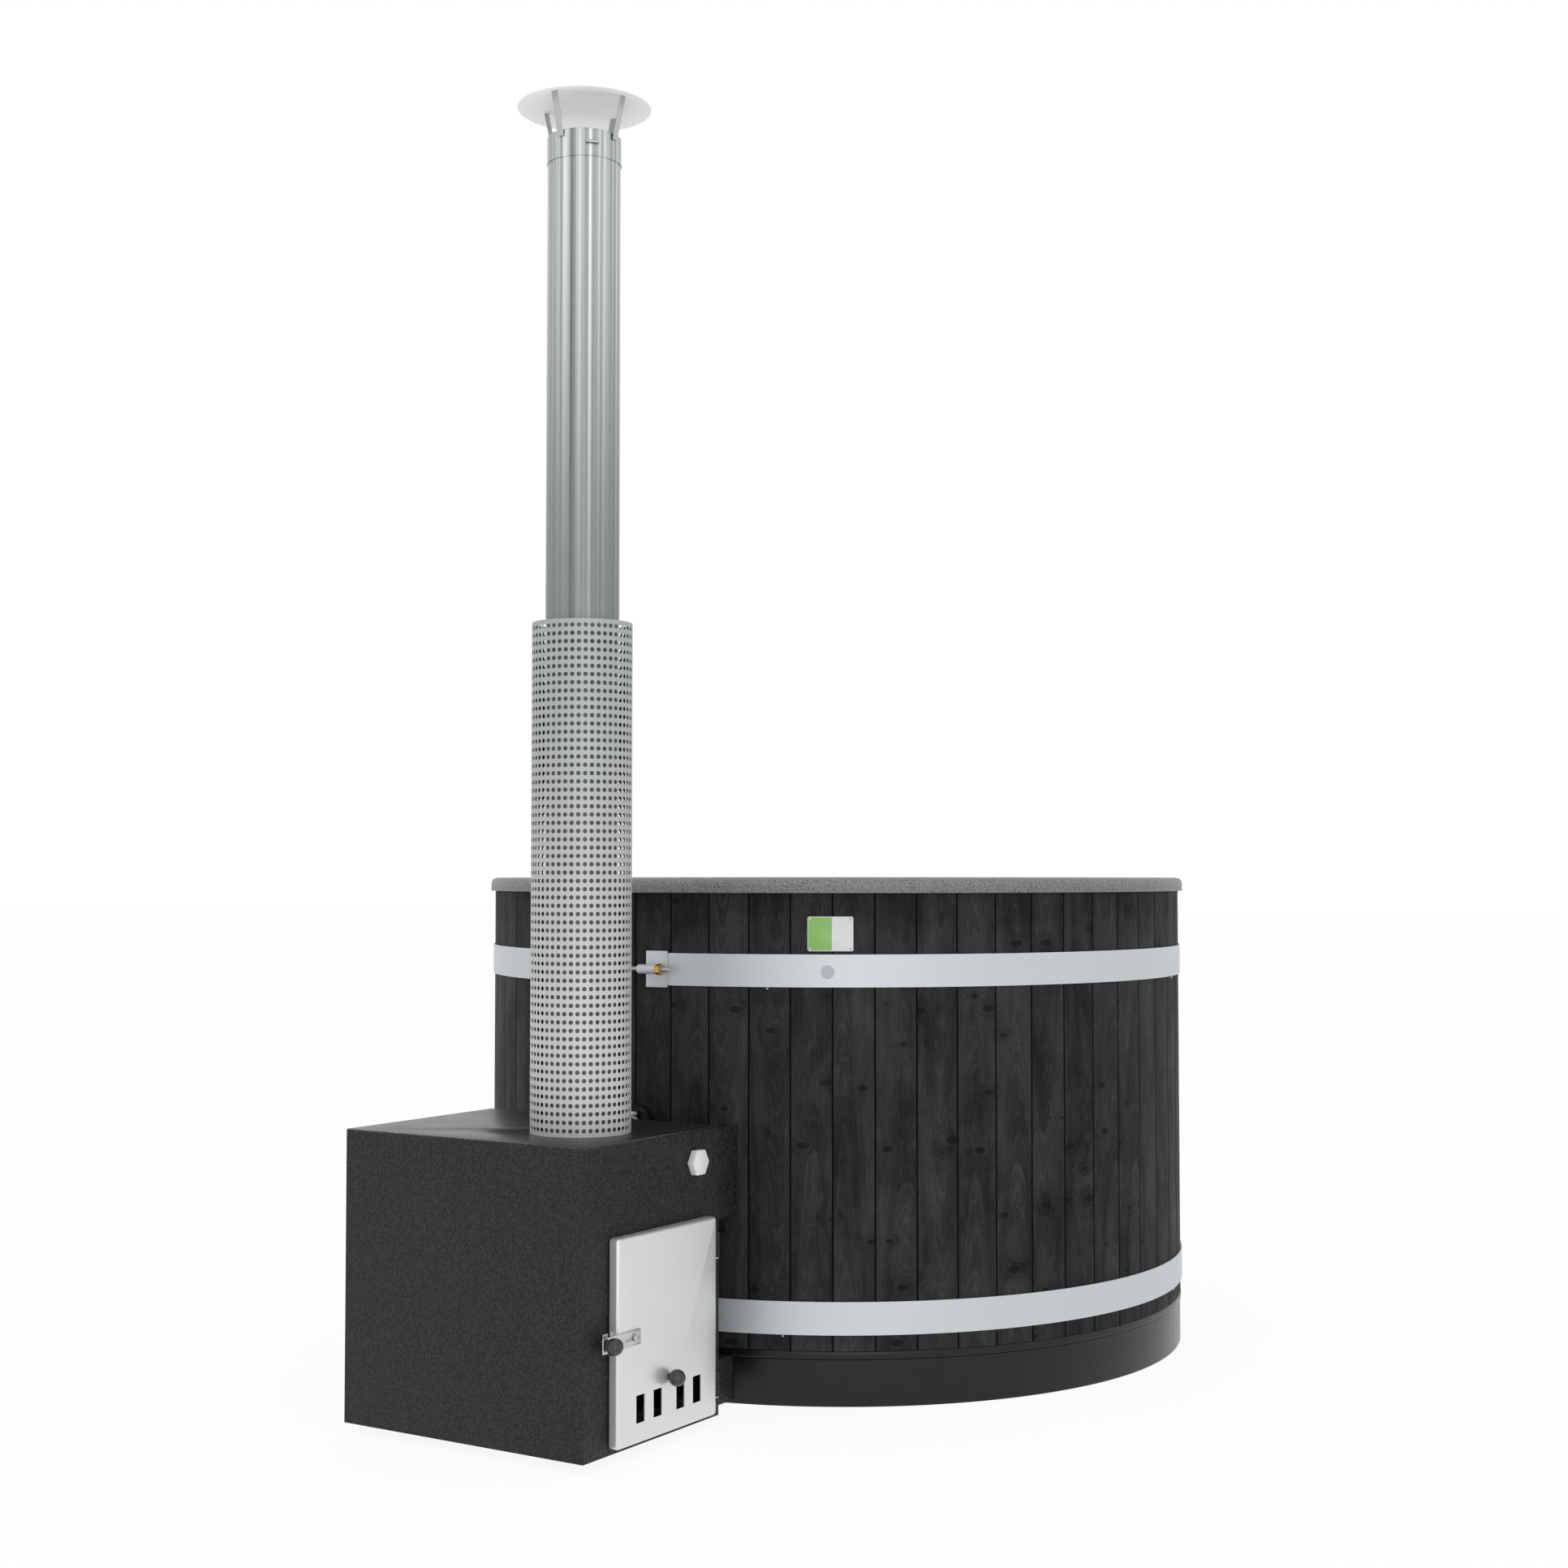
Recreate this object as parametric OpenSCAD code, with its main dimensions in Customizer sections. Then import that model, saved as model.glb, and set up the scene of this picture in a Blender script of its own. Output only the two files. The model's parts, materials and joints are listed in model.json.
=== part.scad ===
// Wood-fired hot tub: a round tub of dark-stained staves with a moulded liner,
// and a box heater with a flue standing beside it, joined to it by two hoses.
// The origin is on the ground on the axis of the tub. The heater stands
// towards -Y and its fire door faces +X.

/* [Tub] */
// Number of staves round the tub
stave_count = 59; // [50:1:66]
// Cover width of one stave
stave_w = 92; // [84:1:98]
// Thickness of a stave
stave_t = 28; // [22:1:32]
// Gap between neighbouring staves
stave_gap = 0.4; // [0.3:0.1:1.5]
// Chamfer on the outer long edges of a stave
stave_bevel = 3; // [1:0.5:5]
// Height of the rim above the ground
rim_h = 1135; // [1000:5:1300]
// Height of the rim's outer lip
rim_lip = 32; // [28:1:50]
// How far the rim stands out past the staves
rim_over = 10; // [8:1:20]
// Radius of the rim's corners
rim_round = 15; // [10:1:18]
// Width of the flat deck of the rim, from the staves to the basin
rim_deck = 74; // [60:1:120]

/* [Basin] */
// Wall thickness of the liner
liner_t = 6; // [4:0.5:8]
// Height of the bench above the ground
seat_h = 500; // [450:5:520]
// Height of the basin's floor above the ground
floor_h = 131; // [128:1:180]
// Radius of the foot well
foot_r = 440; // [380:5:520]
// How far the basin narrows from the rim to the bench
basin_draft = 14; // [5:1:30]
// Radius of the inner corners of the basin
basin_fillet = 15; // [8:1:30]
// Radius of the bench's front edge
bench_nose = 12; // [8:1:24]
// Thickness of the timber props under the bench
prop_t = 60; // [40:2:90]
// Number of props under the bench
prop_count = 8; // [4:1:12]

/* [Base] */
// Height of the skirt under its lip
skirt_h = 101; // [80:1:110]
// Height of the skirt's lip, which carries the staves
lip_h = 18; // [12:1:22]
// Wall thickness of the skirt
skirt_t = 6; // [4:0.5:8]
// How far the skirt stands back from the face of the staves
skirt_back = 2; // [1:0.5:6]
// Thickness of the bottom board
base_t = 12; // [9:1:18]
// Width of a floor joist
joist_w = 45; // [35:1:60]
// Distance between the joists
joist_apart = 270; // [240:5:330]

/* [Bands] */
// Width of a band
band_w = 71; // [50:1:80]
// Thickness of a band
band_t = 3; // [2:0.5:4]
// Height of the middle of the upper band
band_hi = 934.5; // [800:0.5:1000]
// Height of the middle of the lower band
band_lo = 189.2; // [170:0.2:260]
// Azimuth of the gap between the band's ends, from -Y towards +X
band_gap_az = -3; // [-6:0.5:0]
// Angle between the outer edges of the two lug plates
lug_span = 17.4; // [16:0.2:20]
// Width of a lug plate
lug_w = 54; // [45:1:60]
// Height of a lug plate
lug_h = 80; // [76:1:90]
// Diameter of a lug's barrel
barrel_d = 21; // [18:0.5:24]
// Length of a lug's barrel
barrel_l = 51; // [40:1:56]
// Distance from the middle of the gap to the outer end of a barrel
barrel_out = 116.5; // [110:0.5:122]
// Diameter of the tension rod
rod_d = 11; // [8:0.5:12]
// Length of the tension rod
rod_l = 304; // [285:1:320]
// Width across the flats of a tension nut
nut_af = 22; // [18:0.5:24]
// Length of a tension nut
nut_l = 12; // [8:0.5:16]
// Diameter of the head of a band nail
nail_d = 6; // [4:0.5:10]
// Height of the head of a band nail
nail_h = 2.5; // [1.5:0.5:4]
// Places of the nails under the upper band, in staves counted from -Y towards +X
nails_hi = [3.45, 16.49, 29.5, 42.5];
// Places of the nails under the lower band, counted the same way
nails_lo = [3.82, 16.47, 29.5, 42.5];

/* [Heater] */
// Width of the heater along X
heater_w = 615.7; // [580:0.1:660]
// Depth of the heater along Y
heater_d = 461.5; // [440:0.1:520]
// Height of the casing
heater_h = 600; // [580:1:660]
// Height of the feet
foot_h = 18.3; // [15:0.1:30]
// Distance between the heater and the staves
heater_gap = 126; // [110:1:160]
// Thickness of the casing's sheet
sheet_t = 2; // [1.5:0.5:3]
// Thickness of the top plate
top_t = 4; // [3:0.5:6]
// Space between the casing and the water tank
air_gap = 20; // [14:1:26]
// Wall thickness of the water tank
tank_t = 3; // [2:0.5:4]
// Thickness of the water space round the firebox
water_gap = 40; // [30:1:46]
// Height of the water space over the firebox
head_gap = 70; // [50:1:90]
// Wall thickness of the firebox
fire_t = 5; // [4:0.5:8]
// Height of the grate above the bottom of the casing
grate_z = 150; // [130:1:170]
// Thickness of the grate
grate_t = 14; // [10:1:18]
// Diameter of a foot
foot_d = 60; // [40:1:80]
// Distance of a foot's middle from the edges of the casing
foot_inset = 105; // [80:1:130]
// Width across the flats of the casing's plug
plug_af = 50; // [36:1:60]
// Height of the plug's head
plug_h = 16; // [10:1:20]
// Distance of the plug from the door's edge on the tub's side
plug_in = 45; // [40:1:60]
// Distance of the plug below the heater's top
plug_down = 67; // [60:1:90]

/* [Door] */
// Width of the door along Y
door_w = 340.4; // [320:0.2:350]
// Height of the door
door_h = 405.5; // [380:0.5:420]
// Distance from the casing's front face to the face of the door
door_face = 24.6; // [22:0.1:30]
// Height of the door's lower edge above the bottom of the casing
door_z = 12.7; // [10:0.1:20]
// How far the door's middle lies from the heater's middle, towards the tub
door_off = 18.3; // [10:0.1:25]
// Gap between the door's folded edges and the casing
door_gap = 3; // [2:0.5:4]
// Radius of the door's corners
door_round = 8; // [5:0.5:12]
// Thickness of the door's sheet
door_t = 2; // [1.5:0.1:2.2]
// Width of one air slot
slot_w = 27.6; // [24:0.2:28]
// Height of the air slots
slot_h = 54; // [45:1:60]
// Height of the slots' lower edge above the door's lower edge
slot_z = 40; // [34:1:45]
// Distance from the door's middle to an inner air slot
slot_in = 39; // [38:0.5:40]
// Distance from the door's middle to an outer air slot
slot_out = 97; // [96:0.5:98]
// Travel of the damper
damper_travel = 29; // [28:0.5:30]
// Thickness of the damper plate
damper_t = 1.5; // [1:0.1:2]
// Height of the damper's stud above the door's lower edge
stud_z = 110; // [108:1:114]
// Diameter of the ball knobs
ball_d = 34; // [28:1:38]
// Diameter of a ball knob's stud
stud_d = 8; // [6:0.5:10]

/* [Latch] */
// Height of the latch above the door's lower edge
latch_z = 209; // [180:1:230]
// Length of the latch lever from its pivot to its tip
latch_l = 103; // [95:1:110]
// Height of the latch lever
latch_h = 30; // [24:1:32]
// Thickness of the latch lever
latch_t = 3; // [2:0.5:4]
// Distance from the door's free edge to the pivot
pivot_in = 50.6; // [45:0.2:60]
// Width of the keeper on the casing
keeper_w = 16; // [12:1:24]
// Gap between the keeper and the door's edge
keeper_gap = 3.5; // [2:0.5:8]

/* [Hinge] */
// Distance of the hinge axis from the casing's front face
hinge_x = 13; // [12:0.2:14]
// Distance of the hinge axis from the door's edge
hinge_y = 12.2; // [11:0.2:14]
// Outer diameter of a hinge knuckle
knuckle_d = 16; // [14:0.5:18]
// Height of a hinge knuckle
knuckle_h = 26; // [20:1:34]
// Diameter of a hinge pin
pin_d = 8; // [6:0.5:9]
// Radial clearance round a hinge pin, a pivot bolt and a tension rod
run_gap = 0.05; // [0.02:0.01:0.09]
// Distance of a hinge from the door's upper and lower edges
hinge_in = 60; // [40:1:90]

/* [Flue] */
// Outer diameter of the flue pipe
flue_d = 151; // [140:0.5:160]
// Wall thickness of the flue pipe
flue_t = 1.5; // [1:0.1:2]
// Distance of the flue's axis from the heater's middle, towards the door
flue_x = 137; // [110:1:145]
// Distance of the flue's axis from the heater's middle, away from the tub
flue_y = 20; // [0:1:40]
// Height of the top of the flue above the ground
flue_top = 2668; // [2200:1:2900]
// Height of the joint between the flue's two lengths above the casing
flue_joint = 980; // [900:1:1010]
// Outer diameter of the heat guard
guard_d = 206.4; // [196:0.1:240]
// Height of the heat guard
guard_h = 1040; // [1020:1:1100]
// Thickness of the guard's sheet
guard_t = 1.5; // [1:0.1:2]
// Columns of holes round the guard
guard_cols = 48; // [24:2:60]
// Rows of holes up the guard
guard_rows = 8; // [6:1:62]
// Diameter of a hole in the guard
guard_hole = 9; // [6:0.5:10]
// Height of the lowest row of holes above the guard's lower edge
guard_first = 13; // [10:0.5:20]

/* [Cap] */
// Height of the cap's collar
collar_h = 57; // [40:1:70]
// Thickness of the cap's collar
collar_t = 1.8; // [1:0.1:3]
// Diameter of the rain cap
cap_d = 277; // [240:1:320]
// Height of the rain cap's rim above the top of the flue
cap_rise = 64; // [50:1:90]
// Height of the rain cap's cone
cap_cone = 36; // [20:1:50]
// Thickness of the rain cap's sheet
cap_t = 1; // [0.8:0.1:2]
// Width of a cap strap
strap_w = 14.5; // [10:0.5:20]
// Thickness of a cap strap
strap_t = 2; // [1.5:0.1:3]
// How far a strap leans out from the collar to the cap
strap_lean = 21; // [10:1:30]

/* [Pipes] */
// Height of the upper hose above the ground
hose_hi = 585; // [580:1:590]
// Height of the lower hose above the ground
hose_lo = 60; // [56:1:62]
// Outer diameter of the pipe ends
pipe_d = 40; // [32:1:42]
// Wall thickness of the pipe ends
pipe_t = 3; // [2:0.5:4]
// Wall thickness of a hose
hose_t = 6; // [4:0.5:8]
// Length of each pipe end inside a hose
hose_lap = 30; // [24:1:36]
// Diameter of the fittings' flanges
flange_d = 104; // [90:1:110]
// Thickness of the fittings' flanges
flange_t = 8; // [6:0.5:12]
// Width of a hose clamp
clamp_w = 12; // [9:0.5:14]
// Thickness of a hose clamp
clamp_t = 1.2; // [0.8:0.1:2]
// Depth of the strainer over the inlet
strainer_l = 40; // [32:1:60]
// Height of the strainer over the outlet
outlet_h = 30; // [27:1:34]
// Diameter of the drain pipe
drain_d = 46; // [42:1:50]
// Diameter of the drain's hose tail
spigot_d = 40; // [36:1:41]
// Length of the drain's hose tail
spigot_l = 35; // [25:1:50]
// Height of the drain pipe above the ground
drain_z = 60; // [56:1:62]

/* [Shrouds] */
// Height of the upper shroud's lower edge above the ground
shroud_hi_z = 406; // [380:1:430]
// Height of the upper shroud's upper edge above the ground
shroud_hi_top = 600; // [590:1:610]
// Half the width of the upper shroud
shroud_hi_x = 249; // [200:1:280]
// Height of the lower shroud's lower edge above the ground
shroud_lo_z = 8; // [5:1:20]
// Height of the lower shroud's upper edge above the ground
shroud_lo_top = 105; // [98:1:120]
// Half the width of the lower shroud
shroud_lo_x = 238; // [200:1:280]

/* [Hidden] */
// Free space between pieces that only sit beside each other
seat = 0.3;
// Reach of a cut past the surface it opens
cut = 1;
// Facets of a large circle and of a small one
fine = 180;
small = 32;

// The tub
tub_r = stave_count * stave_w / 360 * 180 / PI;
stave_az = 360 / stave_count;
stave_in = tub_r - stave_t;
stave_face = tub_r * cos(stave_az / 2);
rim_r = tub_r + rim_over;
rim_z = rim_h - rim_lip;
stave_z = skirt_h + lip_h;
stave_top = rim_h - liner_t - rim_round / 3;
basin_top_r = tub_r - rim_deck;
basin_low_r = basin_top_r - basin_draft;
skirt_r = tub_r - skirt_back;
floor_r = stave_in - 2 * seat;
under_seat = seat_h - liner_t;
under_floor = floor_h - liner_t;
prop_r = (foot_r + basin_low_r) / 2;
nose_flat = 2;
well_edge_r = foot_r + bench_nose + nose_flat;
wall_edge_r = basin_low_r - basin_fillet;

// The pipes
pipe_bore = pipe_d - 2 * pipe_t;
tail_y = -tub_r - flange_t - hose_lap;
stub_y = -tub_r - heater_gap + hose_lap;
clamp_y = [stub_y - hose_lap / 2, tail_y + hose_lap / 2];
clamp_r = pipe_d / 2 + run_gap + hose_t + run_gap;
drain_end = tub_r + 6;
drain_bore = spigot_d - 2 * pipe_t;
drain_rose_d = drain_d + 24;
stopper_l = 14;
stopper_rim = 5;
stopper_knob = 18;
stopper_neck = 13.5;
stopper_z = 18;
nut_y = -basin_low_r + 5;
rose_t = 3;
rose_d = flange_d - 20;
thread_l = 14;
strainer_d = flange_d - 24;
strainer_t = 3;
strainer_slots = 8;
slit = 5;
hose_play = 4;
clamp_box_w = 22;
clamp_box_h = 9;
clamp_screw_d = 6;
clamp_screw_out = 3;
clamp_head_t = 5;
clamp_screw_z = clamp_r + 5;
bend_r = skirt_h - max(hose_lo, drain_z) - 1;

// The bands
band_r = tub_r + band_t + seat;
barrel_mid = barrel_out - barrel_l / 2;
rod_r = sqrt(pow(band_r + band_t + seat + barrel_d / 2, 2) - pow(barrel_mid, 2));
lug_lap_az = 1.2;
band_end = lug_span / 2 - lug_lap_az;
lug_az = 180 / PI * lug_w / band_r;
nut_collar_d = nut_af + 2;
nut_collar_t = 2.5;
nail_drop = nail_d / 2 + seat;
outlet_in = 85;

// The heater, measured from its own middle at the bottom of the casing
heater_y = -(tub_r + heater_gap + heater_d / 2);
tank_x0 = -heater_w / 2 + air_gap;
tank_x1 = heater_w / 2 - sheet_t - fire_t - seat;
tank_y = heater_d / 2 - air_gap;
tank_z0 = air_gap;
tank_z1 = heater_h - top_t - 8;
fire_x0 = tank_x0 + tank_t + water_gap;
fire_y = tank_y - tank_t - water_gap;
fire_z0 = tank_z0 + tank_t + water_gap;
fire_z1 = tank_z1 - head_gap;
grate_gap = 14;
grate_edge = 40;
grate_rib = 8;
grate_x1 = tank_x1 - grate_edge;
rest_w = 20;
smoke_gap = 110;
plug_thread = 30;
plug_y = door_off + door_w / 2 - plug_in;
plug_z = heater_h - plug_down;
foot_bolt_d = 10;
shroud_lip = 25;
mouth_rim = 30;
mouth_w = door_w - 2 * mouth_rim;
mouth_z0 = fire_z0 + fire_t + 2;
mouth_z1 = door_z + door_h - mouth_rim;
casing_rim = 10;
flue_r = flue_d / 2;

// The door, measured from the hinge axis, with the casing's face at -hinge_x
axis_x = heater_w / 2 + hinge_x;
axis_y = heater_y + door_off + door_w / 2 + hinge_y;
door_mid = -hinge_y - door_w / 2;
door_back = -hinge_x + door_gap;
door_front = -hinge_x + door_face;
door_base = foot_h + door_z;
damper_x = door_front - door_t - seat - damper_t;
damper_rim = 10;
damper_z0 = slot_z - damper_rim;
damper_z1 = stud_z + damper_rim + stud_d / 2;
damper_w = 2 * slot_out + slot_w + damper_rim + stud_d / 2;
window_rim = 4;
guide_h = 12;
inner_t = 2;
gasket_t = 5;
gasket_in = 6;
gasket_w = 12;
inner_x = -hinge_x + gasket_t + seat;
leaf_w = 6;
head_t = 2;
head_over = 5;
pivot_y = -hinge_y - door_w + pivot_in;
knob_y = pivot_y - latch_l + 13;
stud_gap = 1;
latch_x = door_front + seat;
latch_play = 4;
keeper_t = 2;
keeper_rib = 6;
pivot_head = 6;

// The flue
flue_cx = flue_x;
flue_cy = heater_y - flue_y;
heater_top_z = foot_h + heater_h;
collar_r = flue_r + collar_t + seat;
swage_l = 60;
tab_in = 70;
tab_w = 20;
tab_t = 2;
collar_bolt_az = 50;
collar_bolt_d = 6;
collar_bolt_l = 28;
strap_lap = 14;

// Points of an arc about (cx, cy), from angle a0 to a1
function arc(cx, cy, r, a0, a1, n = 6) =
  [for (i = [0 : n]) let (a = a0 + (a1 - a0) * i / n) [cx + r * cos(a), cy + r * sin(a)]];

// The basin is welded from three moulded sections. These are the profiles of the
// foot well and of the wall, sunk by o under the surface that the water touches
function well_line(o) = concat(
  [[0, floor_h - o]],
  arc(foot_r - basin_fillet, floor_h + basin_fillet, basin_fillet + o, -90, 0),
  arc(foot_r + bench_nose, seat_h - bench_nose, bench_nose - o, 180, 90),
  [[well_edge_r, seat_h - o]]);

function wall_line(o) = concat(
  arc(wall_edge_r, seat_h + basin_fillet, basin_fillet + o, -90, 0),
  arc(basin_top_r + rim_round, rim_h - rim_round, rim_round - o, 180, 90),
  arc(rim_r - rim_round, rim_h - rim_round, rim_round - o, 90, 0),
  [[rim_r - o, rim_z]]);

function reversed(list) = [for (i = [len(list) - 1 : -1 : 0]) list[i]];

// Places its children on the wall at azimuth az and radius r, facing outwards along +X
module at_azimuth(az, r, z) {
  rotate([0, 0, az - 90]) translate([r, 0, z]) children();
}

// A cylinder along +Y that starts at y0
module along_y(d, y0, y1, facets = small) {
  translate([0, y0, 0]) rotate([-90, 0, 0]) cylinder(d = d, h = y1 - y0, $fn = facets);
}

// A tube along +Y
module tube_y(d_out, d_in, y0, y1) {
  difference() {
    along_y(d_out, y0, y1);
    along_y(d_in, y0 - cut, y1 + cut);
  }
}

// A cylinder along +X that starts at x0
module along_x(d, x0, x1, facets = small) {
  translate([x0, 0, 0]) rotate([0, 90, 0]) cylinder(d = d, h = x1 - x0, $fn = facets);
}

module ring(r_out, r_in, h, facets = fine) {
  difference() {
    cylinder(r = r_out, h = h, $fn = facets);
    translate([0, 0, -cut]) cylinder(r = r_in, h = h + 2 * cut, $fn = facets);
  }
}

// Moves its children from the heater's own middle to its place on the ground
module in_heater() {
  translate([0, heater_y, foot_h]) children();
}

module in_door() {
  translate([axis_x, axis_y, door_base]) children();
}

// The tub

// The basin's wall with its rolled rim
module liner() {
  color("#8c9093") difference() {
    rotate_extrude($fn = fine) polygon(concat(wall_line(0), reversed(wall_line(liner_t))));
    translate([0, 0, hose_hi]) along_y(pipe_d + 2 * seat, -tub_r, 0);
  }
}

module bench() {
  color("#8c9093") translate([0, 0, seat_h - liner_t])
    ring(wall_edge_r - seat, well_edge_r + seat, liner_t);
}

module foot_well() {
  color("#8c9093") difference() {
    rotate_extrude($fn = fine) polygon(concat(well_line(0), reversed(well_line(liner_t))));
    translate([0, -outlet_y(), 0]) cylinder(d = pipe_d + 2 * seat, h = rim_h, $fn = small);
    cylinder(d = drain_d + 2 * seat, h = floor_h + cut, $fn = small);
  }
}

// Distance from the tub's axis to the outlet in the basin's floor
function outlet_y() = foot_r - basin_fillet - flange_d / 2 - outlet_in;

// Flat-faced board with sides cut to the tub's angle, so its corners lie on the tub's radius
module stave() {
  half_out = tub_r * sin(stave_az / 2) - stave_gap / 2;
  half_in = stave_in * tan(stave_az / 2) - stave_gap / 2;
  linear_extrude(stave_top - stave_z) polygon([
    [stave_in, -half_in], [stave_in, half_in],
    [stave_face - stave_bevel, half_out], [stave_face, half_out - stave_bevel],
    [stave_face, -half_out + stave_bevel], [stave_face - stave_bevel, -half_out]]);
}

module staves() {
  color("#26282a") for (i = [1 : stave_count - 2]) at_stave(i) stave();
}

// The two staves that the inlet's hole is bored through, on their joint
module inlet_staves() {
  color("#26282a") difference() {
    for (i = [0, stave_count - 1]) at_stave(i) stave();
    translate([0, 0, hose_hi]) along_y(pipe_d + 2 * seat, -tub_r - cut, 0);
  }
}

module at_stave(i) {
  rotate([0, 0, (i + 0.5) * stave_az - 90]) translate([0, 0, stave_z]) children();
}

module base_skirt() {
  color("#2b2d2f") difference() {
    rotate_extrude($fn = fine) polygon([
      [skirt_r - skirt_t, 0], [skirt_r, 0], [skirt_r, skirt_h], [tub_r, skirt_h],
      [tub_r, stave_z - seat], [stave_in, stave_z - seat], [stave_in, skirt_h],
      [skirt_r - skirt_t, skirt_h]]);
    translate([0, 0, hose_lo]) along_y(pipe_d + 2 * seat, -tub_r, 0);
    translate([0, 0, drain_z]) along_y(drain_d + 2 * seat, 0, tub_r);
  }
}

module base_board() {
  color("#1d1e1f") cylinder(r = skirt_r - skirt_t - seat, h = base_t, $fn = fine);
}

// Joists along Y, with the middle lane left free for the pipes
module floor_joists() {
  color("#b98d5c") intersection() {
    translate([0, 0, base_t + seat]) cylinder(r = skirt_r - skirt_t - 4, h = skirt_h, $fn = fine);
    for (side = [-1, 1], i = [0 : 2])
      translate([side * (i + 0.5) * joist_apart - joist_w / 2, -tub_r, base_t + seat])
        cube([joist_w, 2 * tub_r, skirt_h - base_t - 2 * seat]);
  }
}

module floor_board() {
  color("#c49a66") difference() {
    translate([0, 0, skirt_h]) cylinder(r = floor_r, h = under_floor - skirt_h - seat, $fn = fine);
    translate([0, -outlet_y(), 0]) cylinder(d = pipe_d + 2 * seat, h = rim_h, $fn = small);
    cylinder(d = drain_d + 2 * seat, h = rim_h, $fn = small);
  }
}

module bench_props() {
  color("#c49a66") for (i = [0 : prop_count - 1])
    at_azimuth((i + 0.5) * 360 / prop_count, prop_r, under_floor)
      translate([-prop_t, -prop_t / 2, 0])
        cube([2 * prop_t, prop_t, under_seat - under_floor - seat]);
}

// The bands

module band(z) {
  rotate([0, 0, band_gap_az - 90 + band_end]) rotate_extrude(angle = 360 - 2 * band_end, $fn = fine)
    translate([tub_r + seat, z - band_w / 2]) square([band_t, band_w]);
}

module upper_band() {
  color("#aeb6bd") band(band_hi);
}

module lower_band() {
  color("#aeb6bd") band(band_lo);
}

// Puts its children at both bands, with +Y radial at the gap and +X along the rod
module at_tensioners() {
  for (z = [band_hi, band_lo]) rotate([0, 0, band_gap_az]) translate([0, 0, z]) children();
}

module band_lugs() {
  color("#b7bcc0") at_tensioners() for (side = [0, 1]) mirror([side, 0, 0]) difference() {
    union() {
      rotate([0, 0, -90 + lug_span / 2 - lug_az]) rotate_extrude(angle = lug_az, $fn = fine)
        translate([band_r + seat, -lug_h / 2]) square([band_t, lug_h]);
      translate([barrel_out - barrel_l, -rod_r, 0]) along_x(barrel_d, 0, barrel_l);
    }
    translate([0, -rod_r, 0]) along_x(rod_d + 2 * run_gap, 0, rod_l);
  }
}

module tension_rods() {
  color("#a9b0b6") at_tensioners() translate([0, -rod_r, 0]) along_x(rod_d, -rod_l / 2, rod_l / 2);
}

module tension_nuts() {
  color("#b5892f") at_tensioners() for (side = [0, 1]) mirror([side, 0, 0])
    translate([barrel_out + seat, -rod_r, 0]) difference() {
      union() {
        along_x(nut_af / cos(30), 0, nut_l, 6);
        along_x(nut_collar_d, 0, nut_collar_t);
      }
      along_x(rod_d + 2 * run_gap, -cut, nut_l + cut);
    }
}

// Round nail heads just under the bands, each on the flat face of a stave
module band_nails() {
  color("#9a9c9d") for (row = [[band_hi, nails_hi], [band_lo, nails_lo]], place = row[1])
    at_azimuth((floor(place) + 0.5) * stave_az, stave_face + seat, row[0] - band_w / 2 - nail_drop)
      translate([0, (place - floor(place) - 0.5) * stave_w, 0]) along_x(nail_d, 0, nail_h);
}

// Pipes between the tub and the heater

module inlet_fitting() {
  color("#2a2c2e") translate([0, 0, hose_hi]) difference() {
    union() {
      along_y(pipe_d, tail_y, nut_y + flange_t + thread_l);
      along_y(flange_d, -tub_r - seat - flange_t, -tub_r - seat);
    }
    along_y(pipe_bore, tail_y - cut, nut_y + flange_t + thread_l + cut);
  }
}

module inlet_nut() {
  color("#34373a") translate([0, 0, hose_hi])
    tube_y(rose_d, pipe_d + 2 * run_gap, nut_y, nut_y + flange_t);
}

// Cup with slits through its side, open at the bottom
module strainer(h) {
  slit_h = h - 3 * strainer_t - thread_l;
  color("#cfd2d4") difference() {
    cylinder(d = strainer_d, h = h, $fn = small);
    translate([0, 0, -cut]) cylinder(d = strainer_d - 2 * strainer_t, h = h - strainer_t + cut, $fn = small);
    for (i = [0 : strainer_slots - 1]) rotate([0, 0, i * 180 / strainer_slots])
      translate([-strainer_d, -slit / 2, h - 2 * strainer_t - slit_h]) cube([2 * strainer_d, slit, slit_h]);
  }
}

module inlet_strainer() {
  translate([0, nut_y + flange_t + seat, hose_hi]) rotate([-90, 0, 0]) strainer(strainer_l);
}

// A quarter bend of radius r in the plane of Y and Z, from straight along +Y at
// the origin to straight up, and the same with its bore's diameter
module bend_up(d, r) {
  translate([0, 0, r]) rotate([0, 90, 0]) rotate_extrude(angle = 90, $fn = small)
    translate([r, 0]) circle(d = d, $fn = small);
}

// A pipe along Y from y0 that turns up at y1 and ends at height z1
module elbow_pipe(d, r, y0, y1, z0, z1) {
  side = y0 < y1 ? 0 : 1;
  translate([0, 0, z0]) along_y(d, min(y0, y1 - r), max(y0, y1 - r + 2 * side * r));
  translate([0, y1, z0]) mirror([0, side, 0]) translate([0, -r, 0]) bend_up(d, r);
  translate([0, y1, z0 + r]) cylinder(d = d, h = z1 - z0 - r, $fn = small);
}

// Pipe from the lower hose under the floor, with a bend up into the foot well
module outlet_pipe() {
  color("#2a2c2e") difference() {
    union() {
      elbow_pipe(pipe_d, bend_r, tail_y, -outlet_y(), hose_lo, floor_h + seat);
      translate([0, -outlet_y(), floor_h + seat]) cylinder(d = rose_d, h = rose_t, $fn = small);
    }
    elbow_pipe(pipe_bore, bend_r, tail_y - cut, -outlet_y(), hose_lo, floor_h + rose_t + cut);
  }
}

module outlet_strainer() {
  translate([0, -outlet_y(), floor_h + rose_t + 2 * seat]) strainer(outlet_h);
}

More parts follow.
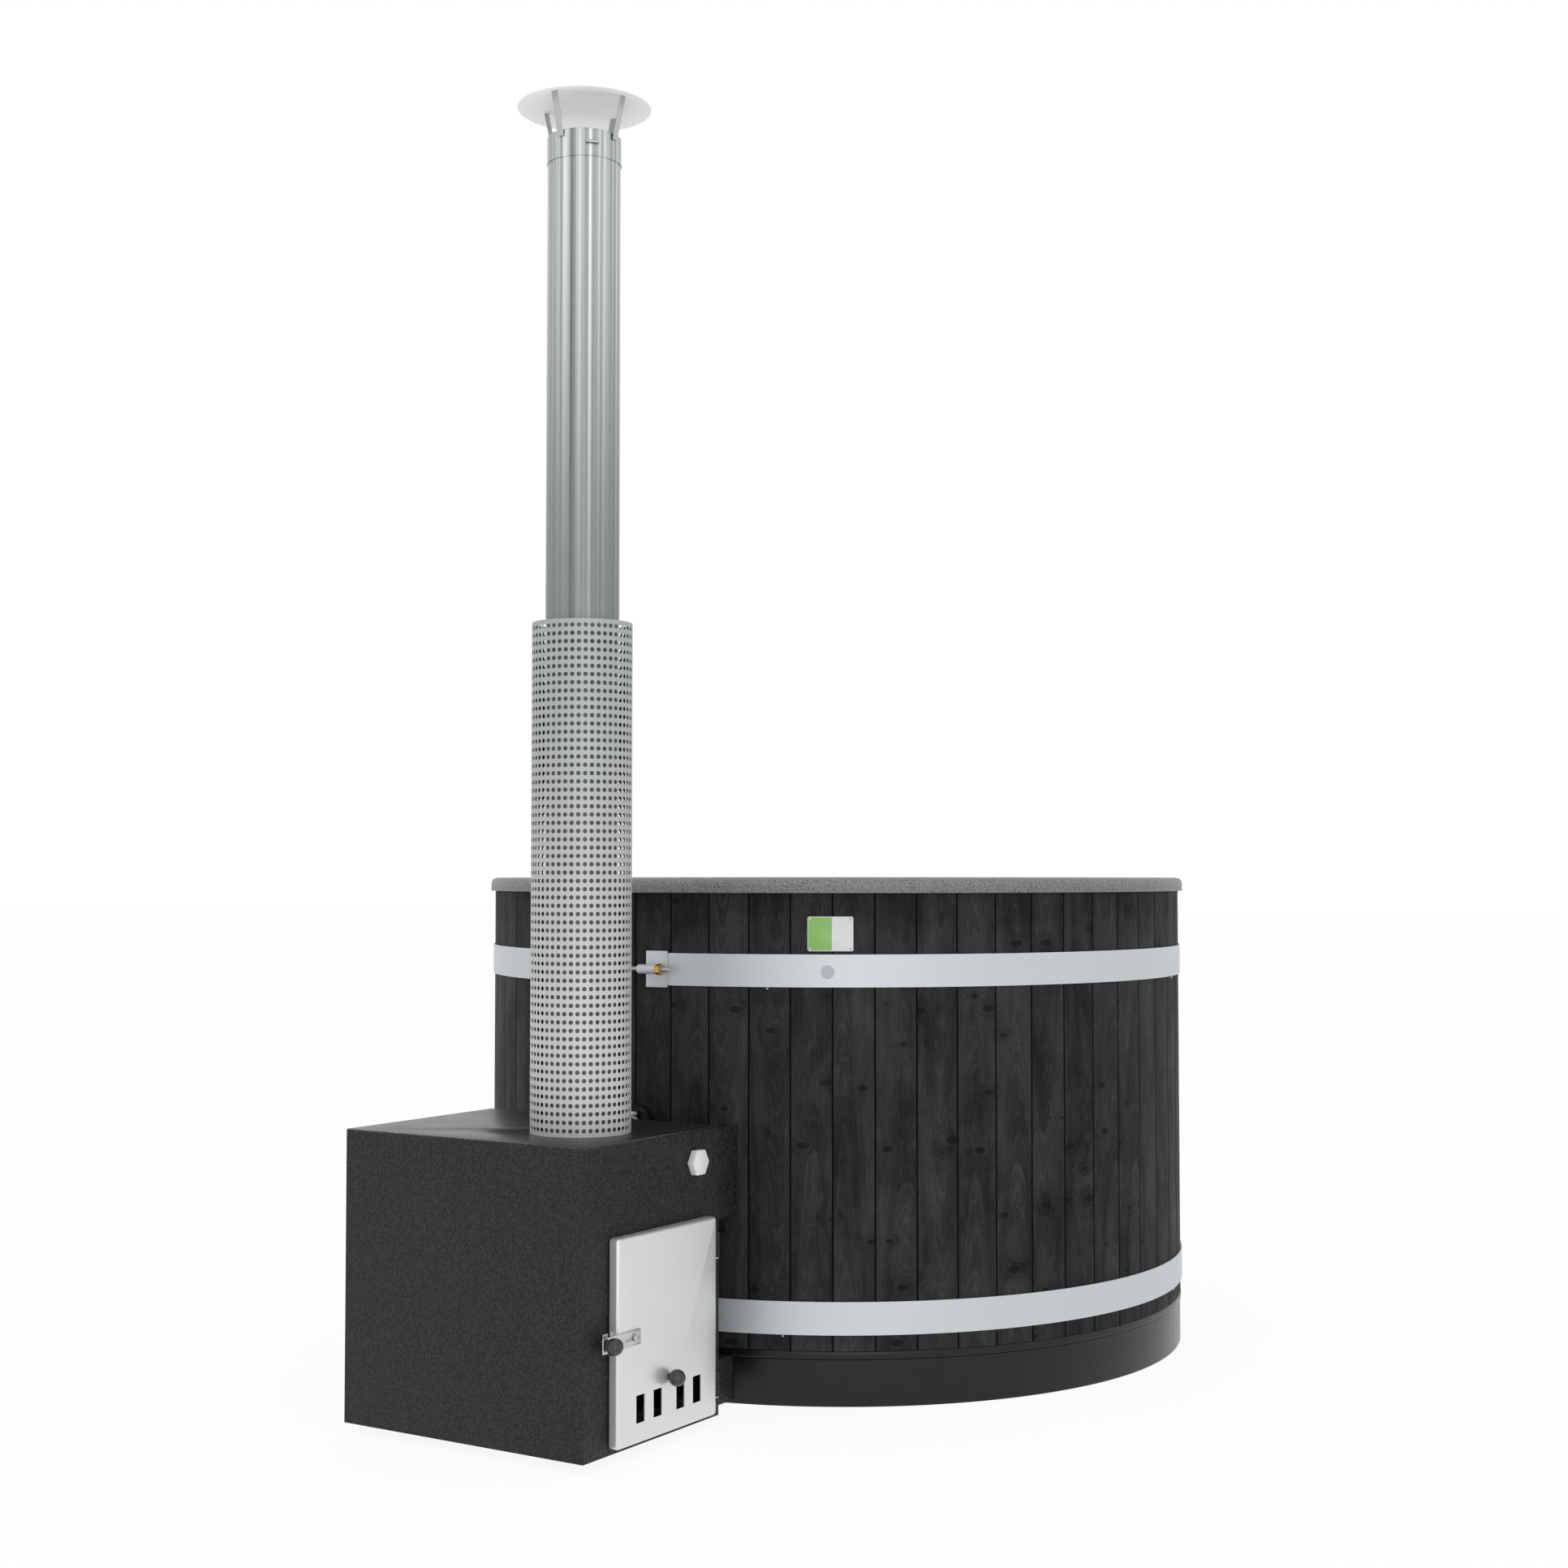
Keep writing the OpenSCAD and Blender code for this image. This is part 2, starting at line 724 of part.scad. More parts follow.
// Drain under the middle of the floor, out through the skirt on the far side to a hose tail
module drain_pipe() {
  color("#2a2c2e") difference() {
    union() {
      elbow_pipe(drain_d, bend_r, drain_end, 0, drain_z, floor_h + seat);
      translate([0, 0, floor_h + seat]) cylinder(d = drain_rose_d, h = rose_t, $fn = small);
      translate([0, 0, drain_z]) along_y(spigot_d, drain_end - cut, drain_end + spigot_l);
    }
    elbow_pipe(drain_bore, bend_r, drain_end + spigot_l + cut, 0, drain_z, floor_h + rose_t + cut);
  }
}

// Lift-out plug with a knob, resting on the drain's rose
module drain_plug() {
  color("#202122") translate([0, 0, floor_h + seat + rose_t]) union() {
    translate([0, 0, -stopper_l])
      cylinder(d = drain_bore - 2 * seat, h = stopper_l + stopper_rim, $fn = small);
    translate([0, 0, seat / 2]) cylinder(d = drain_d, h = stopper_rim, $fn = small);
    cylinder(d = stopper_neck, h = stopper_z, $fn = small);
    translate([0, 0, stopper_z]) sphere(d = stopper_knob, $fn = small);
  }
}

module hoses() {
  color("#1c1d1e") for (z = [hose_hi, hose_lo]) translate([0, 0, z])
    tube_y(pipe_d + 2 * run_gap + 2 * hose_t, pipe_d + 2 * run_gap,
      stub_y - hose_lap + hose_play, tail_y + hose_lap - hose_play);
}

module hose_clamps() {
  color("#c6cacd") for (z = [hose_hi, hose_lo], y = clamp_y) translate([0, 0, z]) difference() {
    union() {
      along_y(2 * (clamp_r + clamp_t), y - clamp_w / 2, y + clamp_w / 2);
      translate([-clamp_box_w / 2, y - clamp_w / 2, clamp_r]) cube([clamp_box_w, clamp_w, clamp_box_h]);
    }
    along_y(2 * clamp_r, y - clamp_w, y + clamp_w);
    translate([0, y, clamp_screw_z]) along_x(clamp_screw_d + 2 * run_gap, -clamp_box_w, clamp_box_w);
  }
}

module clamp_screws() {
  color("#e2e5e7") for (z = [hose_hi, hose_lo], y = clamp_y) translate([0, y, z + clamp_screw_z]) union() {
    along_x(clamp_screw_d, -clamp_box_w / 2 - clamp_screw_out,
      clamp_box_w / 2 + clamp_screw_out + clamp_head_t / 2);
    along_x(clamp_screw_d + 2, clamp_box_w / 2 + clamp_screw_out,
      clamp_box_w / 2 + clamp_screw_out + clamp_head_t, 6);
  }
}

// The heater

module casing() {
  w = heater_w;
  d = heater_d;
  h = heater_h - top_t;
  color("#242627") in_heater() difference() {
    translate([-w / 2, -d / 2, 0]) cube([w, d, h]);
    translate([-w / 2 + sheet_t, -d / 2 + sheet_t, sheet_t]) cube([w - 2 * sheet_t, d - 2 * sheet_t, h]);
    translate([w / 2 - sheet_t - cut, door_off - mouth_w / 2 - casing_rim, mouth_z0 - casing_rim])
      cube([sheet_t + 2 * cut, mouth_w + 2 * casing_rim, mouth_z1 - mouth_z0 + 2 * casing_rim]);
    for (z = [hose_hi, hose_lo]) translate([0, 0, z - foot_h])
      along_y(pipe_d + 2 * seat, 0, d / 2 + cut);
    translate([0, plug_y, plug_z]) along_x(plug_thread + 2 * seat, 0, w / 2 + cut);
    for (x = [-1, 1], y = [-1, 1])
      translate([x * (w / 2 - foot_inset), y * (d / 2 - foot_inset), -cut])
        cylinder(d = foot_bolt_d + 2 * run_gap, h = 2 * cut + sheet_t, $fn = small);
  }
}

module heater_top() {
  color("#2c2f31") in_heater() difference() {
    translate([-heater_w / 2, -heater_d / 2, heater_h - top_t + seat])
      cube([heater_w, heater_d, top_t - seat]);
    translate([flue_x, -flue_y, 0]) cylinder(r = flue_r + seat, h = heater_h + cut, $fn = fine);
  }
}

module heater_feet() {
  color("#17181a") in_heater() for (x = [-1, 1], y = [-1, 1])
    translate([x * (heater_w / 2 - foot_inset), y * (heater_d / 2 - foot_inset), -foot_h]) union() {
      cylinder(d = foot_d, h = foot_h / 2, $fn = small);
      cylinder(d = 2 * foot_bolt_d, h = foot_h - seat, $fn = small);
      cylinder(d = foot_bolt_d, h = foot_h + sheet_t + foot_bolt_d, $fn = small);
    }
}

// Box open towards the door, from x0 to the front plate
module open_box(x0, x1, y, z0, z1, t) {
  difference() {
    translate([x0, -y, z0]) cube([x1 - x0, 2 * y, z1 - z0]);
    translate([x0 + t, -y + t, z0 + t]) cube([x1 - x0, 2 * (y - t), z1 - z0 - 2 * t]);
  }
}

module water_tank() {
  color("#7d8184") in_heater() difference() {
    union() {
      open_box(tank_x0, tank_x1, tank_y, tank_z0, tank_z1, tank_t);
      for (z = [hose_hi, hose_lo]) translate([0, 0, z - foot_h])
        along_y(pipe_d, tank_y - tank_t, heater_d / 2 + hose_lap);
    }
    for (z = [hose_hi, hose_lo]) translate([0, 0, z - foot_h])
      along_y(pipe_bore, tank_y - 2 * tank_t, heater_d / 2 + hose_lap + cut);
    translate([flue_x, -flue_y, fire_z1]) cylinder(r = flue_r + seat, h = heater_h, $fn = fine);
  }
}

module firebox() {
  color("#5d6062") in_heater() difference() {
    open_box(fire_x0, tank_x1, fire_y, fire_z0, fire_z1, fire_t);
    translate([flue_x, -flue_y, fire_z1 - 2 * fire_t])
      cylinder(r = flue_r - flue_t, h = heater_h, $fn = fine);
  }
}

module front_plate() {
  color("#3a3d3f") in_heater() difference() {
    translate([tank_x1 + seat, -tank_y, tank_z0]) cube([fire_t, 2 * tank_y, tank_z1 - tank_z0]);
    translate([tank_x1, door_off - mouth_w / 2, mouth_z0]) cube([fire_t + cut, mouth_w, mouth_z1 - mouth_z0]);
    translate([0, plug_y, plug_z]) along_x(plug_thread + 2 * seat, 0, heater_w / 2);
  }
}

// Shelf over the fire that sends the smoke to the back before it turns to the flue
module baffle() {
  color("#5d6062") in_heater()
    translate([fire_x0 + smoke_gap, -fire_y + fire_t + seat, mouth_z1 + mouth_rim / 2])
      cube([tank_x1 - fire_x0 - smoke_gap, 2 * (fire_y - fire_t - seat), fire_t]);
}

module grate() {
  x0 = fire_x0 + fire_t + seat;
  y = fire_y - fire_t - seat;
  gaps = floor((grate_x1 - x0 - 2 * grate_edge + grate_gap) / (2 * grate_gap));
  first = (x0 + grate_x1 - (2 * gaps - 1) * grate_gap) / 2;
  color("#2f3132") in_heater() difference() {
    translate([x0, -y, grate_z]) cube([grate_x1 - x0, 2 * y, grate_t]);
    for (i = [0 : gaps - 1], side = [0, 1]) mirror([0, side, 0])
      translate([first + 2 * i * grate_gap, grate_rib, grate_z - cut])
        cube([grate_gap, y - grate_rib - grate_edge, grate_t + 2 * cut]);
  }
}

// Angle rails on the firebox walls that carry the grate
module grate_rests() {
  x0 = fire_x0 + fire_t + seat;
  y = fire_y - fire_t - seat;
  color("#5d6062") in_heater() for (side = [0, 1]) mirror([0, side, 0])
    translate([x0, y - rest_w, grate_z - seat - fire_t]) union() {
      cube([grate_x1 - x0, rest_w, fire_t]);
      translate([0, rest_w - fire_t, -rest_w]) cube([grate_x1 - x0, fire_t, rest_w + fire_t]);
    }
}

module heater_plug() {
  color("#d6dadd") in_heater() translate([heater_w / 2 + seat, plug_y, plug_z])
    union() {
      rotate([30, 0, 0]) along_x(plug_af / cos(30), 0, plug_h, 6);
      along_x(plug_thread, -plug_thread, 0);
    }
}

// Cheeks and a plate between the heater and the tub, shaped to the tub's wall
module shroud(half_w, z0, z1, plate_z) {
  y0 = heater_y + heater_d / 2 + seat;
  color("#242627") difference() {
    union() {
      for (side = [-1, 1]) translate([side * half_w - (side + 1) / 2 * sheet_t, y0, z0])
        cube([sheet_t, tub_r, z1 - z0]);
      translate([-half_w, y0, plate_z]) cube([2 * half_w, tub_r, sheet_t]);
      for (side = [-1, 1]) translate([side * half_w - (side + 1) / 2 * shroud_lip, y0, z0])
        cube([shroud_lip, sheet_t, z1 - z0]);
    }
    translate([0, 0, -cut]) cylinder(r = tub_r + 2 * seat, h = rim_h, $fn = fine);
    translate([-half_w - cut, -tub_r / 2, -cut]) cube([2 * half_w + 2 * cut, 2 * tub_r, rim_h]);
  }
}

module upper_shroud() {
  shroud(shroud_hi_x, shroud_hi_z, shroud_hi_top, shroud_hi_z);
}

module lower_shroud() {
  shroud(shroud_lo_x, shroud_lo_z, shroud_lo_top, shroud_lo_top - sheet_t);
}

// The flue

module on_flue(z) {
  translate([flue_cx, flue_cy, z]) children();
}

module flue_lower() {
  z0 = foot_h + fire_z1 + seat;
  color("#c3c7ca") on_flue(z0) ring(flue_r, flue_r - flue_t, heater_top_z + flue_joint - z0);
}

// The upper length has a swaged end that slips inside the lower one
module flue_upper() {
  z0 = heater_top_z + flue_joint + seat;
  color("#c3c7ca") on_flue(0) union() {
    translate([0, 0, z0]) ring(flue_r, flue_r - flue_t, flue_top - z0);
    translate([0, 0, z0 - swage_l]) ring(flue_r - flue_t - seat, flue_r - 2 * flue_t - seat, swage_l);
    translate([0, 0, z0]) ring(flue_r - flue_t, flue_r - 2 * flue_t - seat, flue_t);
  }
}

// Corners of a tube bent from sheet in narrow flats, one to each column of holes
function flats(apothem) = [
  for (i = [0 : guard_cols - 1]) let (a = (i + 0.5) * 360 / guard_cols)
    apothem / cos(180 / guard_cols) * [cos(a), sin(a)]];

module heat_guard() {
  r = guard_d / 2;
  pitch = (guard_h - 2 * guard_first) / (guard_rows - 1);
  color("#c9cccd") on_flue(heater_top_z + seat) difference() {
    linear_extrude(guard_h) difference() {
      polygon(flats(r));
      polygon(flats(r - guard_t));
    }
    for (j = [0 : guard_rows - 1], i = [0 : guard_cols - 1])
      rotate([0, 0, i * 360 / guard_cols]) translate([r - 2 * guard_t, 0, guard_first + j * pitch])
        rotate([0, 90, 0]) cylinder(d = guard_hole, h = 3 * guard_t, $fn = 16);
  }
}

// Bent tabs that hold the guard off the flue
module guard_brackets() {
  inner = flue_r + seat;
  outer = sqrt(pow(guard_d / 2 - guard_t, 2) - pow(tab_w / 2, 2)) - seat;
  color("#b4b8bb") for (z = [tab_in, guard_h - tab_in], i = [0 : 2])
    on_flue(heater_top_z + z) rotate([0, 0, i * 120]) translate([inner, -tab_w / 2, 0])
      cube([outer - inner, tab_w, tab_t]);
}

module cap_collar() {
  color("#cdd1d4") on_flue(flue_top - collar_h) ring(collar_r, collar_r - collar_t, collar_h);
}

module collar_bolt() {
  color("#a5a9ac") on_flue(flue_top - collar_h / 2) rotate([0, 0, collar_bolt_az - 90])
    translate([collar_r + collar_bolt_d / 2 + seat, 0, 0]) rotate([90, 0, 0])
      cylinder(d = collar_bolt_d, h = collar_bolt_l, center = true, $fn = small);
}

// Four flat straps from the collar out to the underside of the cap
module cap_straps() {
  z0 = flue_top - strap_lap;
  z1 = cap_under(collar_r + strap_lean) - seat;
  lean = atan(strap_lean / (z1 - z0));
  color("#9b9fa2") for (i = [0 : 3]) on_flue(z0) rotate([0, 0, i * 90])
    translate([collar_r + seat, -strap_w / 2, 0]) rotate([0, lean, 0])
      cube([strap_t, strap_w, (z1 - z0) / cos(lean)]);
}

// Height of the cap's underside at radius r
function cap_under(r) = flue_top + cap_rise + (cap_cone - cap_t) * (1 - 2 * r / cap_d);

module rain_cap() {
  r = cap_d / 2;
  color("#c9cccd") on_flue(flue_top + cap_rise) rotate_extrude($fn = fine) polygon([
    [0, cap_cone - cap_t], [r, 0], [r, cap_t], [0, cap_cone]]);
}

// The door, on its hinge axis

module hinge_brackets() {
  color("#2c2f31") in_door() for (z = hinge_levels()) translate([0, 0, z - knuckle_h - seat]) difference() {
    union() {
      cylinder(d = knuckle_d, h = knuckle_h, $fn = small);
      translate([-hinge_x + seat, -leaf_w, 0]) cube([hinge_x - seat, 2 * leaf_w, knuckle_h]);
    }
    translate([0, 0, -cut]) cylinder(d = pin_d + 2 * run_gap, h = knuckle_h + 2 * cut, $fn = small);
  }
}

// Heights of the joints between lower and upper knuckles, from the door's lower edge
function hinge_levels() = [hinge_in, door_h - hinge_in];

module hinge_pins() {
  color("#b4b8bb") in_door() for (z = hinge_levels()) union() {
    translate([0, 0, z - knuckle_h - 2 * seat - head_t])
      cylinder(d = pin_d, h = 2 * knuckle_h - head_t, $fn = small);
    translate([0, 0, z - knuckle_h - 2 * seat - head_t])
      cylinder(d = pin_d + head_over, h = head_t, $fn = small);
  }
}

module door_knuckles() {
  color("#2c2f31") in_door() for (z = hinge_levels()) translate([0, 0, z]) difference() {
    union() {
      cylinder(d = knuckle_d, h = knuckle_h, $fn = small);
      translate([-leaf_w / 2, -hinge_y + seat, 0]) cube([leaf_w, hinge_y - seat, knuckle_h]);
    }
    translate([0, 0, -cut]) cylinder(d = pin_d + 2 * run_gap, h = knuckle_h + 2 * cut, $fn = small);
  }
}

// Folded sheet: a face with round corners and four edges that turn back to the casing
module door_shell() {
  color("#c9cccd") in_door() difference() {
    door_block(0, door_back, door_front);
    door_block(door_t, door_back - cut, door_front - door_t);
    for (y = slots()) translate([door_front - door_t - cut, door_mid + y - slot_w / 2, slot_z])
      cube([door_t + 2 * cut, slot_w, slot_h]);
    translate([door_front - door_t - cut, door_mid - stud_d / 2 - stud_gap, stud_z - stud_d / 2 - stud_gap])
      cube([door_t + 2 * cut, damper_travel + stud_d + 2 * stud_gap, stud_d + 2 * stud_gap]);
    translate([0, pivot_y, latch_z]) along_x(stud_d + 2 * run_gap, 0, door_front + cut);
  }
}

function slots() = [-slot_out, -slot_in, slot_in, slot_out];

// A plate the size of the door less a margin, with round corners, between two depths
module door_block(margin, x0, x1) {
  r = door_round - margin;
  y0 = -hinge_y - door_w + margin;
  y1 = -hinge_y - margin;
  z0 = margin;
  z1 = door_h - margin;
  union() {
    translate([x0, y0 + r, z0]) cube([x1 - x0, y1 - y0 - 2 * r, z1 - z0]);
    translate([x0, y0, z0 + r]) cube([x1 - x0, y1 - y0, z1 - z0 - 2 * r]);
    for (y = [y0 + r, y1 - r], z = [z0 + r, z1 - r]) translate([0, y, z]) along_x(2 * r, x0, x1);
  }
}

module door_inner() {
  color("#8a8d8f") in_door() difference() {
    door_block(door_t + seat, inner_x, inner_x + inner_t);
    translate([inner_x - cut, door_mid - damper_w / 2, damper_z0 - window_rim])
      cube([inner_t + 2 * cut, damper_w, slot_h + damper_rim + damper_rim + window_rim]);
  }
}

module door_insulation() {
  play = 3;
  z0 = damper_z1 + guide_h + 2 * play;
  color("#d8d6cf") in_door() difference() {
    translate([inner_x + inner_t + seat, -hinge_y - door_w + door_t + play, z0])
      cube([damper_x - inner_x - inner_t - 3 * seat, door_w - 2 * (door_t + play),
        door_h - z0 - door_t - play]);
    translate([0, pivot_y, latch_z]) along_x(3 * stud_d, inner_x - cut, door_front);
  }
}

module door_gasket() {
  color("#3b3b3a") in_door() difference() {
    door_block(gasket_in, -hinge_x + seat, inner_x - seat / 2);
    door_block_cut(gasket_in + gasket_w);
  }
}

module door_block_cut(margin) {
  translate([-hinge_x - cut, -hinge_y - door_w + margin, margin])
    cube([gasket_t + 2 * cut, door_w - 2 * margin, door_h - 2 * margin]);
}

module damper_guides() {
  lip = 4;
  wall = 2;
  end = 6;
  y0 = door_mid - damper_w / 2 - end;
  w = damper_w + 2 * end + damper_travel;
  x1 = door_front - door_t - seat / 2;
  color("#8a8d8f") in_door() for (up = [0, 1]) {
    z_edge = up == 1 ? damper_z1 + seat : damper_z0 - seat;
    dir = up == 1 ? 1 : -1;
    difference() {
      translate([damper_x - seat - wall, y0, dir > 0 ? z_edge - lip : z_edge - guide_h + lip])
        cube([x1 - damper_x + seat + wall, w, guide_h]);
      translate([damper_x - seat, y0 - cut, dir > 0 ? z_edge - lip - cut : z_edge])
        cube([x1 - damper_x + 2 * seat + cut, w + 2 * cut, lip + cut]);
    }
  }
}

module damper_plate() {
  color("#9b9fa2") in_door() difference() {
    translate([damper_x, door_mid - damper_w / 2, damper_z0])
      cube([damper_t, damper_w, damper_z1 - damper_z0]);
    for (y = slots()) translate([damper_x - cut, door_mid + y - slot_w / 2, slot_z])
      cube([damper_t + 2 * cut, slot_w, slot_h]);
    translate([0, door_mid, stud_z]) along_x(stud_d + 2 * run_gap, damper_x - cut, door_front);
  }
}

module damper_knob() {
  x0 = damper_x - head_t - 1;
  x1 = door_front + 4 * stud_gap;
  sunk = 1.5;
  color("#2b2d2f") in_door() translate([0, door_mid, stud_z]) union() {
    along_x(stud_d, x0, x1 + 2 * sunk);
    along_x(stud_d + head_over, x0, damper_x - run_gap);
    translate([x1 + ball_d / 2 - sunk, 0, 0]) sphere(d = ball_d, $fn = 48);
  }
}

// The latch

module latch_pivot() {
  color("#b4b8bb") in_door() translate([0, pivot_y, latch_z]) union() {
    along_x(stud_d, door_front - door_t - pivot_head - 1, latch_x + latch_t + seat);
    along_x(stud_d + pivot_head, latch_x + latch_t + seat, latch_x + latch_t + latch_play);
    along_x(stud_d + pivot_head, door_front - door_t - pivot_head - seat, door_front - door_t - seat, 6);
  }
}

module latch_lever() {
  behind = 18;
  color("#c3c7ca") in_door() difference() {
    translate([latch_x, pivot_y - latch_l, latch_z - latch_h / 2])
      cube([latch_t, latch_l + behind, latch_h]);
    translate([0, pivot_y, latch_z]) along_x(stud_d + 2 * run_gap, 0, latch_x + latch_t + cut);
    translate([0, knob_y, latch_z]) along_x(stud_d + 2 * run_gap, 0, latch_x + latch_t + cut);
  }
}

module latch_knob() {
  color("#2b2d2f") in_door() translate([0, knob_y, latch_z]) union() {
    along_x(stud_d, latch_x - latch_play, latch_x + latch_t + latch_play);
    along_x(stud_d + head_over, latch_x - latch_play, latch_x - run_gap);
    translate([latch_x + latch_t + run_gap + ball_d / 2, 0, 0]) sphere(d = ball_d, $fn = 48);
  }
}

// Bracket on the casing beside the door, with a shelf that the lever lies on and a rib under it
module latch_keeper() {
  y0 = -hinge_y - door_w - keeper_gap - keeper_w;
  reach = latch_x + latch_t + latch_play;
  z0 = latch_z - latch_h / 2 - seat - keeper_t;
  color("#c3c7ca") in_door() translate([-hinge_x + seat, y0, z0]) union() {
    cube([keeper_t, keeper_w, latch_h + keeper_t]);
    cube([reach + hinge_x - seat, keeper_w, keeper_t]);
    translate([0, 0, -keeper_rib]) cube([reach + hinge_x - seat, keeper_t, keeper_rib + keeper_t]);
  }
}

liner();
bench();
foot_well();
staves();
inlet_staves();
base_skirt();
base_board();
floor_joists();
floor_board();
bench_props();
upper_band();
lower_band();
band_lugs();
tension_rods();
tension_nuts();
band_nails();
inlet_fitting();
inlet_nut();
inlet_strainer();
outlet_pipe();
outlet_strainer();
drain_pipe();
drain_plug();
hoses();
hose_clamps();
clamp_screws();
casing();
heater_top();
heater_feet();
water_tank();
firebox();
front_plate();
baffle();
grate();
grate_rests();
heater_plug();
upper_shroud();
lower_shroud();
flue_lower();
flue_upper();
heat_guard();
guard_brackets();
cap_collar();
collar_bolt();
cap_straps();
rain_cap();
hinge_brackets();
hinge_pins();
latch_keeper();
door_shell();
door_inner();
door_insulation();
door_gasket();
damper_guides();
door_knuckles();
latch_pivot();
latch_lever();
latch_knob();
damper_plate();
damper_knob();
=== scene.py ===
# %% [markdown]
# # A wooden hot tub with its wood-fired heater
# This lesson dresses a measured model of a round tub. Dark-stained boards stand round a
# speckled liner, two metal bands hold them, and a black box heater with a steel door and a
# tall flue warms the water. The measured model is the frame: nothing in it is moved or
# resized, and every piece made here sits where the frame says.

# %% Load the frame
import json
import math

import bmesh
import bpy
from mathutils import Matrix, Vector

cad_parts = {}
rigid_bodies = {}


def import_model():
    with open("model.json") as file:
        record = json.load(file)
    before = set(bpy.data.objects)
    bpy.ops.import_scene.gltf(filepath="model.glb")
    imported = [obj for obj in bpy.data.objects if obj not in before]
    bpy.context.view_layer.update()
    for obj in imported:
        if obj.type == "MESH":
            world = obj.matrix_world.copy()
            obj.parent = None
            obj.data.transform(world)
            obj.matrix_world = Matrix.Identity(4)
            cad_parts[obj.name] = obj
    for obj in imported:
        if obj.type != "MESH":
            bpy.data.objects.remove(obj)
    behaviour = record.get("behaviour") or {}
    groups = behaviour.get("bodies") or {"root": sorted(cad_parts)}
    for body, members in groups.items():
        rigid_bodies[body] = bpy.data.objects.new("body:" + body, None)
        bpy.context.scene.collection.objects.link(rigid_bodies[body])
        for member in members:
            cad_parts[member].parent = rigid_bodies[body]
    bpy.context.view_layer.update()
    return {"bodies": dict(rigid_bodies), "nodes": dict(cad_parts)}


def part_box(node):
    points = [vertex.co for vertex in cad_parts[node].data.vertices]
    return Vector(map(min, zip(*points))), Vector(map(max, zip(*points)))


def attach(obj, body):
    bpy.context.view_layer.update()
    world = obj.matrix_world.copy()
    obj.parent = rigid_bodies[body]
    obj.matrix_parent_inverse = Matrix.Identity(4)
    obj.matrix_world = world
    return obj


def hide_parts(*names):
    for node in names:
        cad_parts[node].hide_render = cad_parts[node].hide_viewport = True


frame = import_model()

scene = bpy.context.scene
mm = 0.001


def add(name, data):
    """Puts a mesh, a lamp or a camera into the scene."""
    thing = bpy.data.objects.new(name, data)
    scene.collection.objects.link(thing)
    return thing


print(len(frame["nodes"]), "nodes on the bodies", ", ".join(sorted(frame["bodies"])))

# %% [markdown]
# ## The camera
# A picture taken with a 50 mm lens from about chest height gives this gentle perspective.
# The eye is just level with the rim and looks slightly up, so the rim is seen almost edge on
# and the tall flue still fits into the picture.

# %% Set up the camera
eye = Vector((2.873, -4.7949, 1.1433))
heading = math.radians(32.28)
pitch = math.radians(2.376)
camera = add("camera", bpy.data.cameras.new("camera"))
camera.location = eye
camera.rotation_euler = (math.pi / 2 + pitch, 0, heading)
camera.data.lens = 50
camera.data.sensor_width = 36
scene.camera = camera
print("camera", round(eye.length, 2), "m from the tub's foot")

# %% [markdown]
# ## Shader maths as Python
# A material is a graph of nodes. Wiring it by hand is slow, so one small class wraps a
# socket. Adding or multiplying two wires adds the Math node that does it, and the same
# class works in a Geometry Nodes tree, because both share the Math node.

# %% A wire that can be used in sums
class Wire:
    def __init__(self, tree, socket):
        self.tree = tree
        self.socket = socket

    @staticmethod
    def node(tree, kind, sockets=None, out=0, **settings):
        """Adds a node, sets its settings, then fills its sockets with values or wires."""
        made = tree.nodes.new(kind)
        for name, value in settings.items():
            setattr(made, name, value)
        for key, value in (sockets or {}).items():
            if isinstance(value, Wire):
                tree.links.new(value.socket, made.inputs[key])
            else:
                made.inputs[key].default_value = value
        return Wire(tree, made.outputs[out])

    def other(self, out):
        """A wire from another output of the same node."""
        return Wire(self.tree, self.socket.node.outputs[out])

    def parts(self):
        """The three numbers of a vector or a colour."""
        split = Wire.node(self.tree, "ShaderNodeSeparateXYZ", {0: self})
        return [split.other(i) for i in range(3)]

    def math(self, operation, *others):
        values = dict(enumerate((self, *others)))
        return Wire.node(self.tree, "ShaderNodeMath", values, operation=operation)

    def __add__(self, other):
        return self.math("ADD", other)

    def __sub__(self, other):
        return self.math("SUBTRACT", other)

    def __mul__(self, other):
        return self.math("MULTIPLY", other)

    def __truediv__(self, other):
        return self.math("DIVIDE", other)

    def __pow__(self, other):
        return self.math("POWER", other)

    def __rsub__(self, other):
        return Wire.node(self.tree, "ShaderNodeMath", {0: other, 1: self}, operation="SUBTRACT")

    __radd__ = __add__
    __rmul__ = __mul__

    def step(self, low, high):
        """0 below low, 1 above high, and a smooth rise between."""
        sockets = {0: self, 1: low, 2: high, 3: 0.0, 4: 1.0}
        return Wire.node(self.tree, "ShaderNodeMapRange", sockets, interpolation_type="SMOOTHSTEP")


class Graph:
    """What a shader and a Geometry Nodes tree share: a tree, and the family of its nodes."""
    family = "ShaderNode"

    def node(self, kind, sockets=None, out=0, **settings):
        return Wire.node(self.tree, self.family + kind, sockets, out, **settings)


# %% [markdown]
# ## A finish
# Every material here is one Principled shader. The helper sets its fixed sockets as plain
# numbers, and gives back the tree so that a recipe can wire colour, roughness and bump.

# %% Materials and the nodes that recipes share
finishes = {}


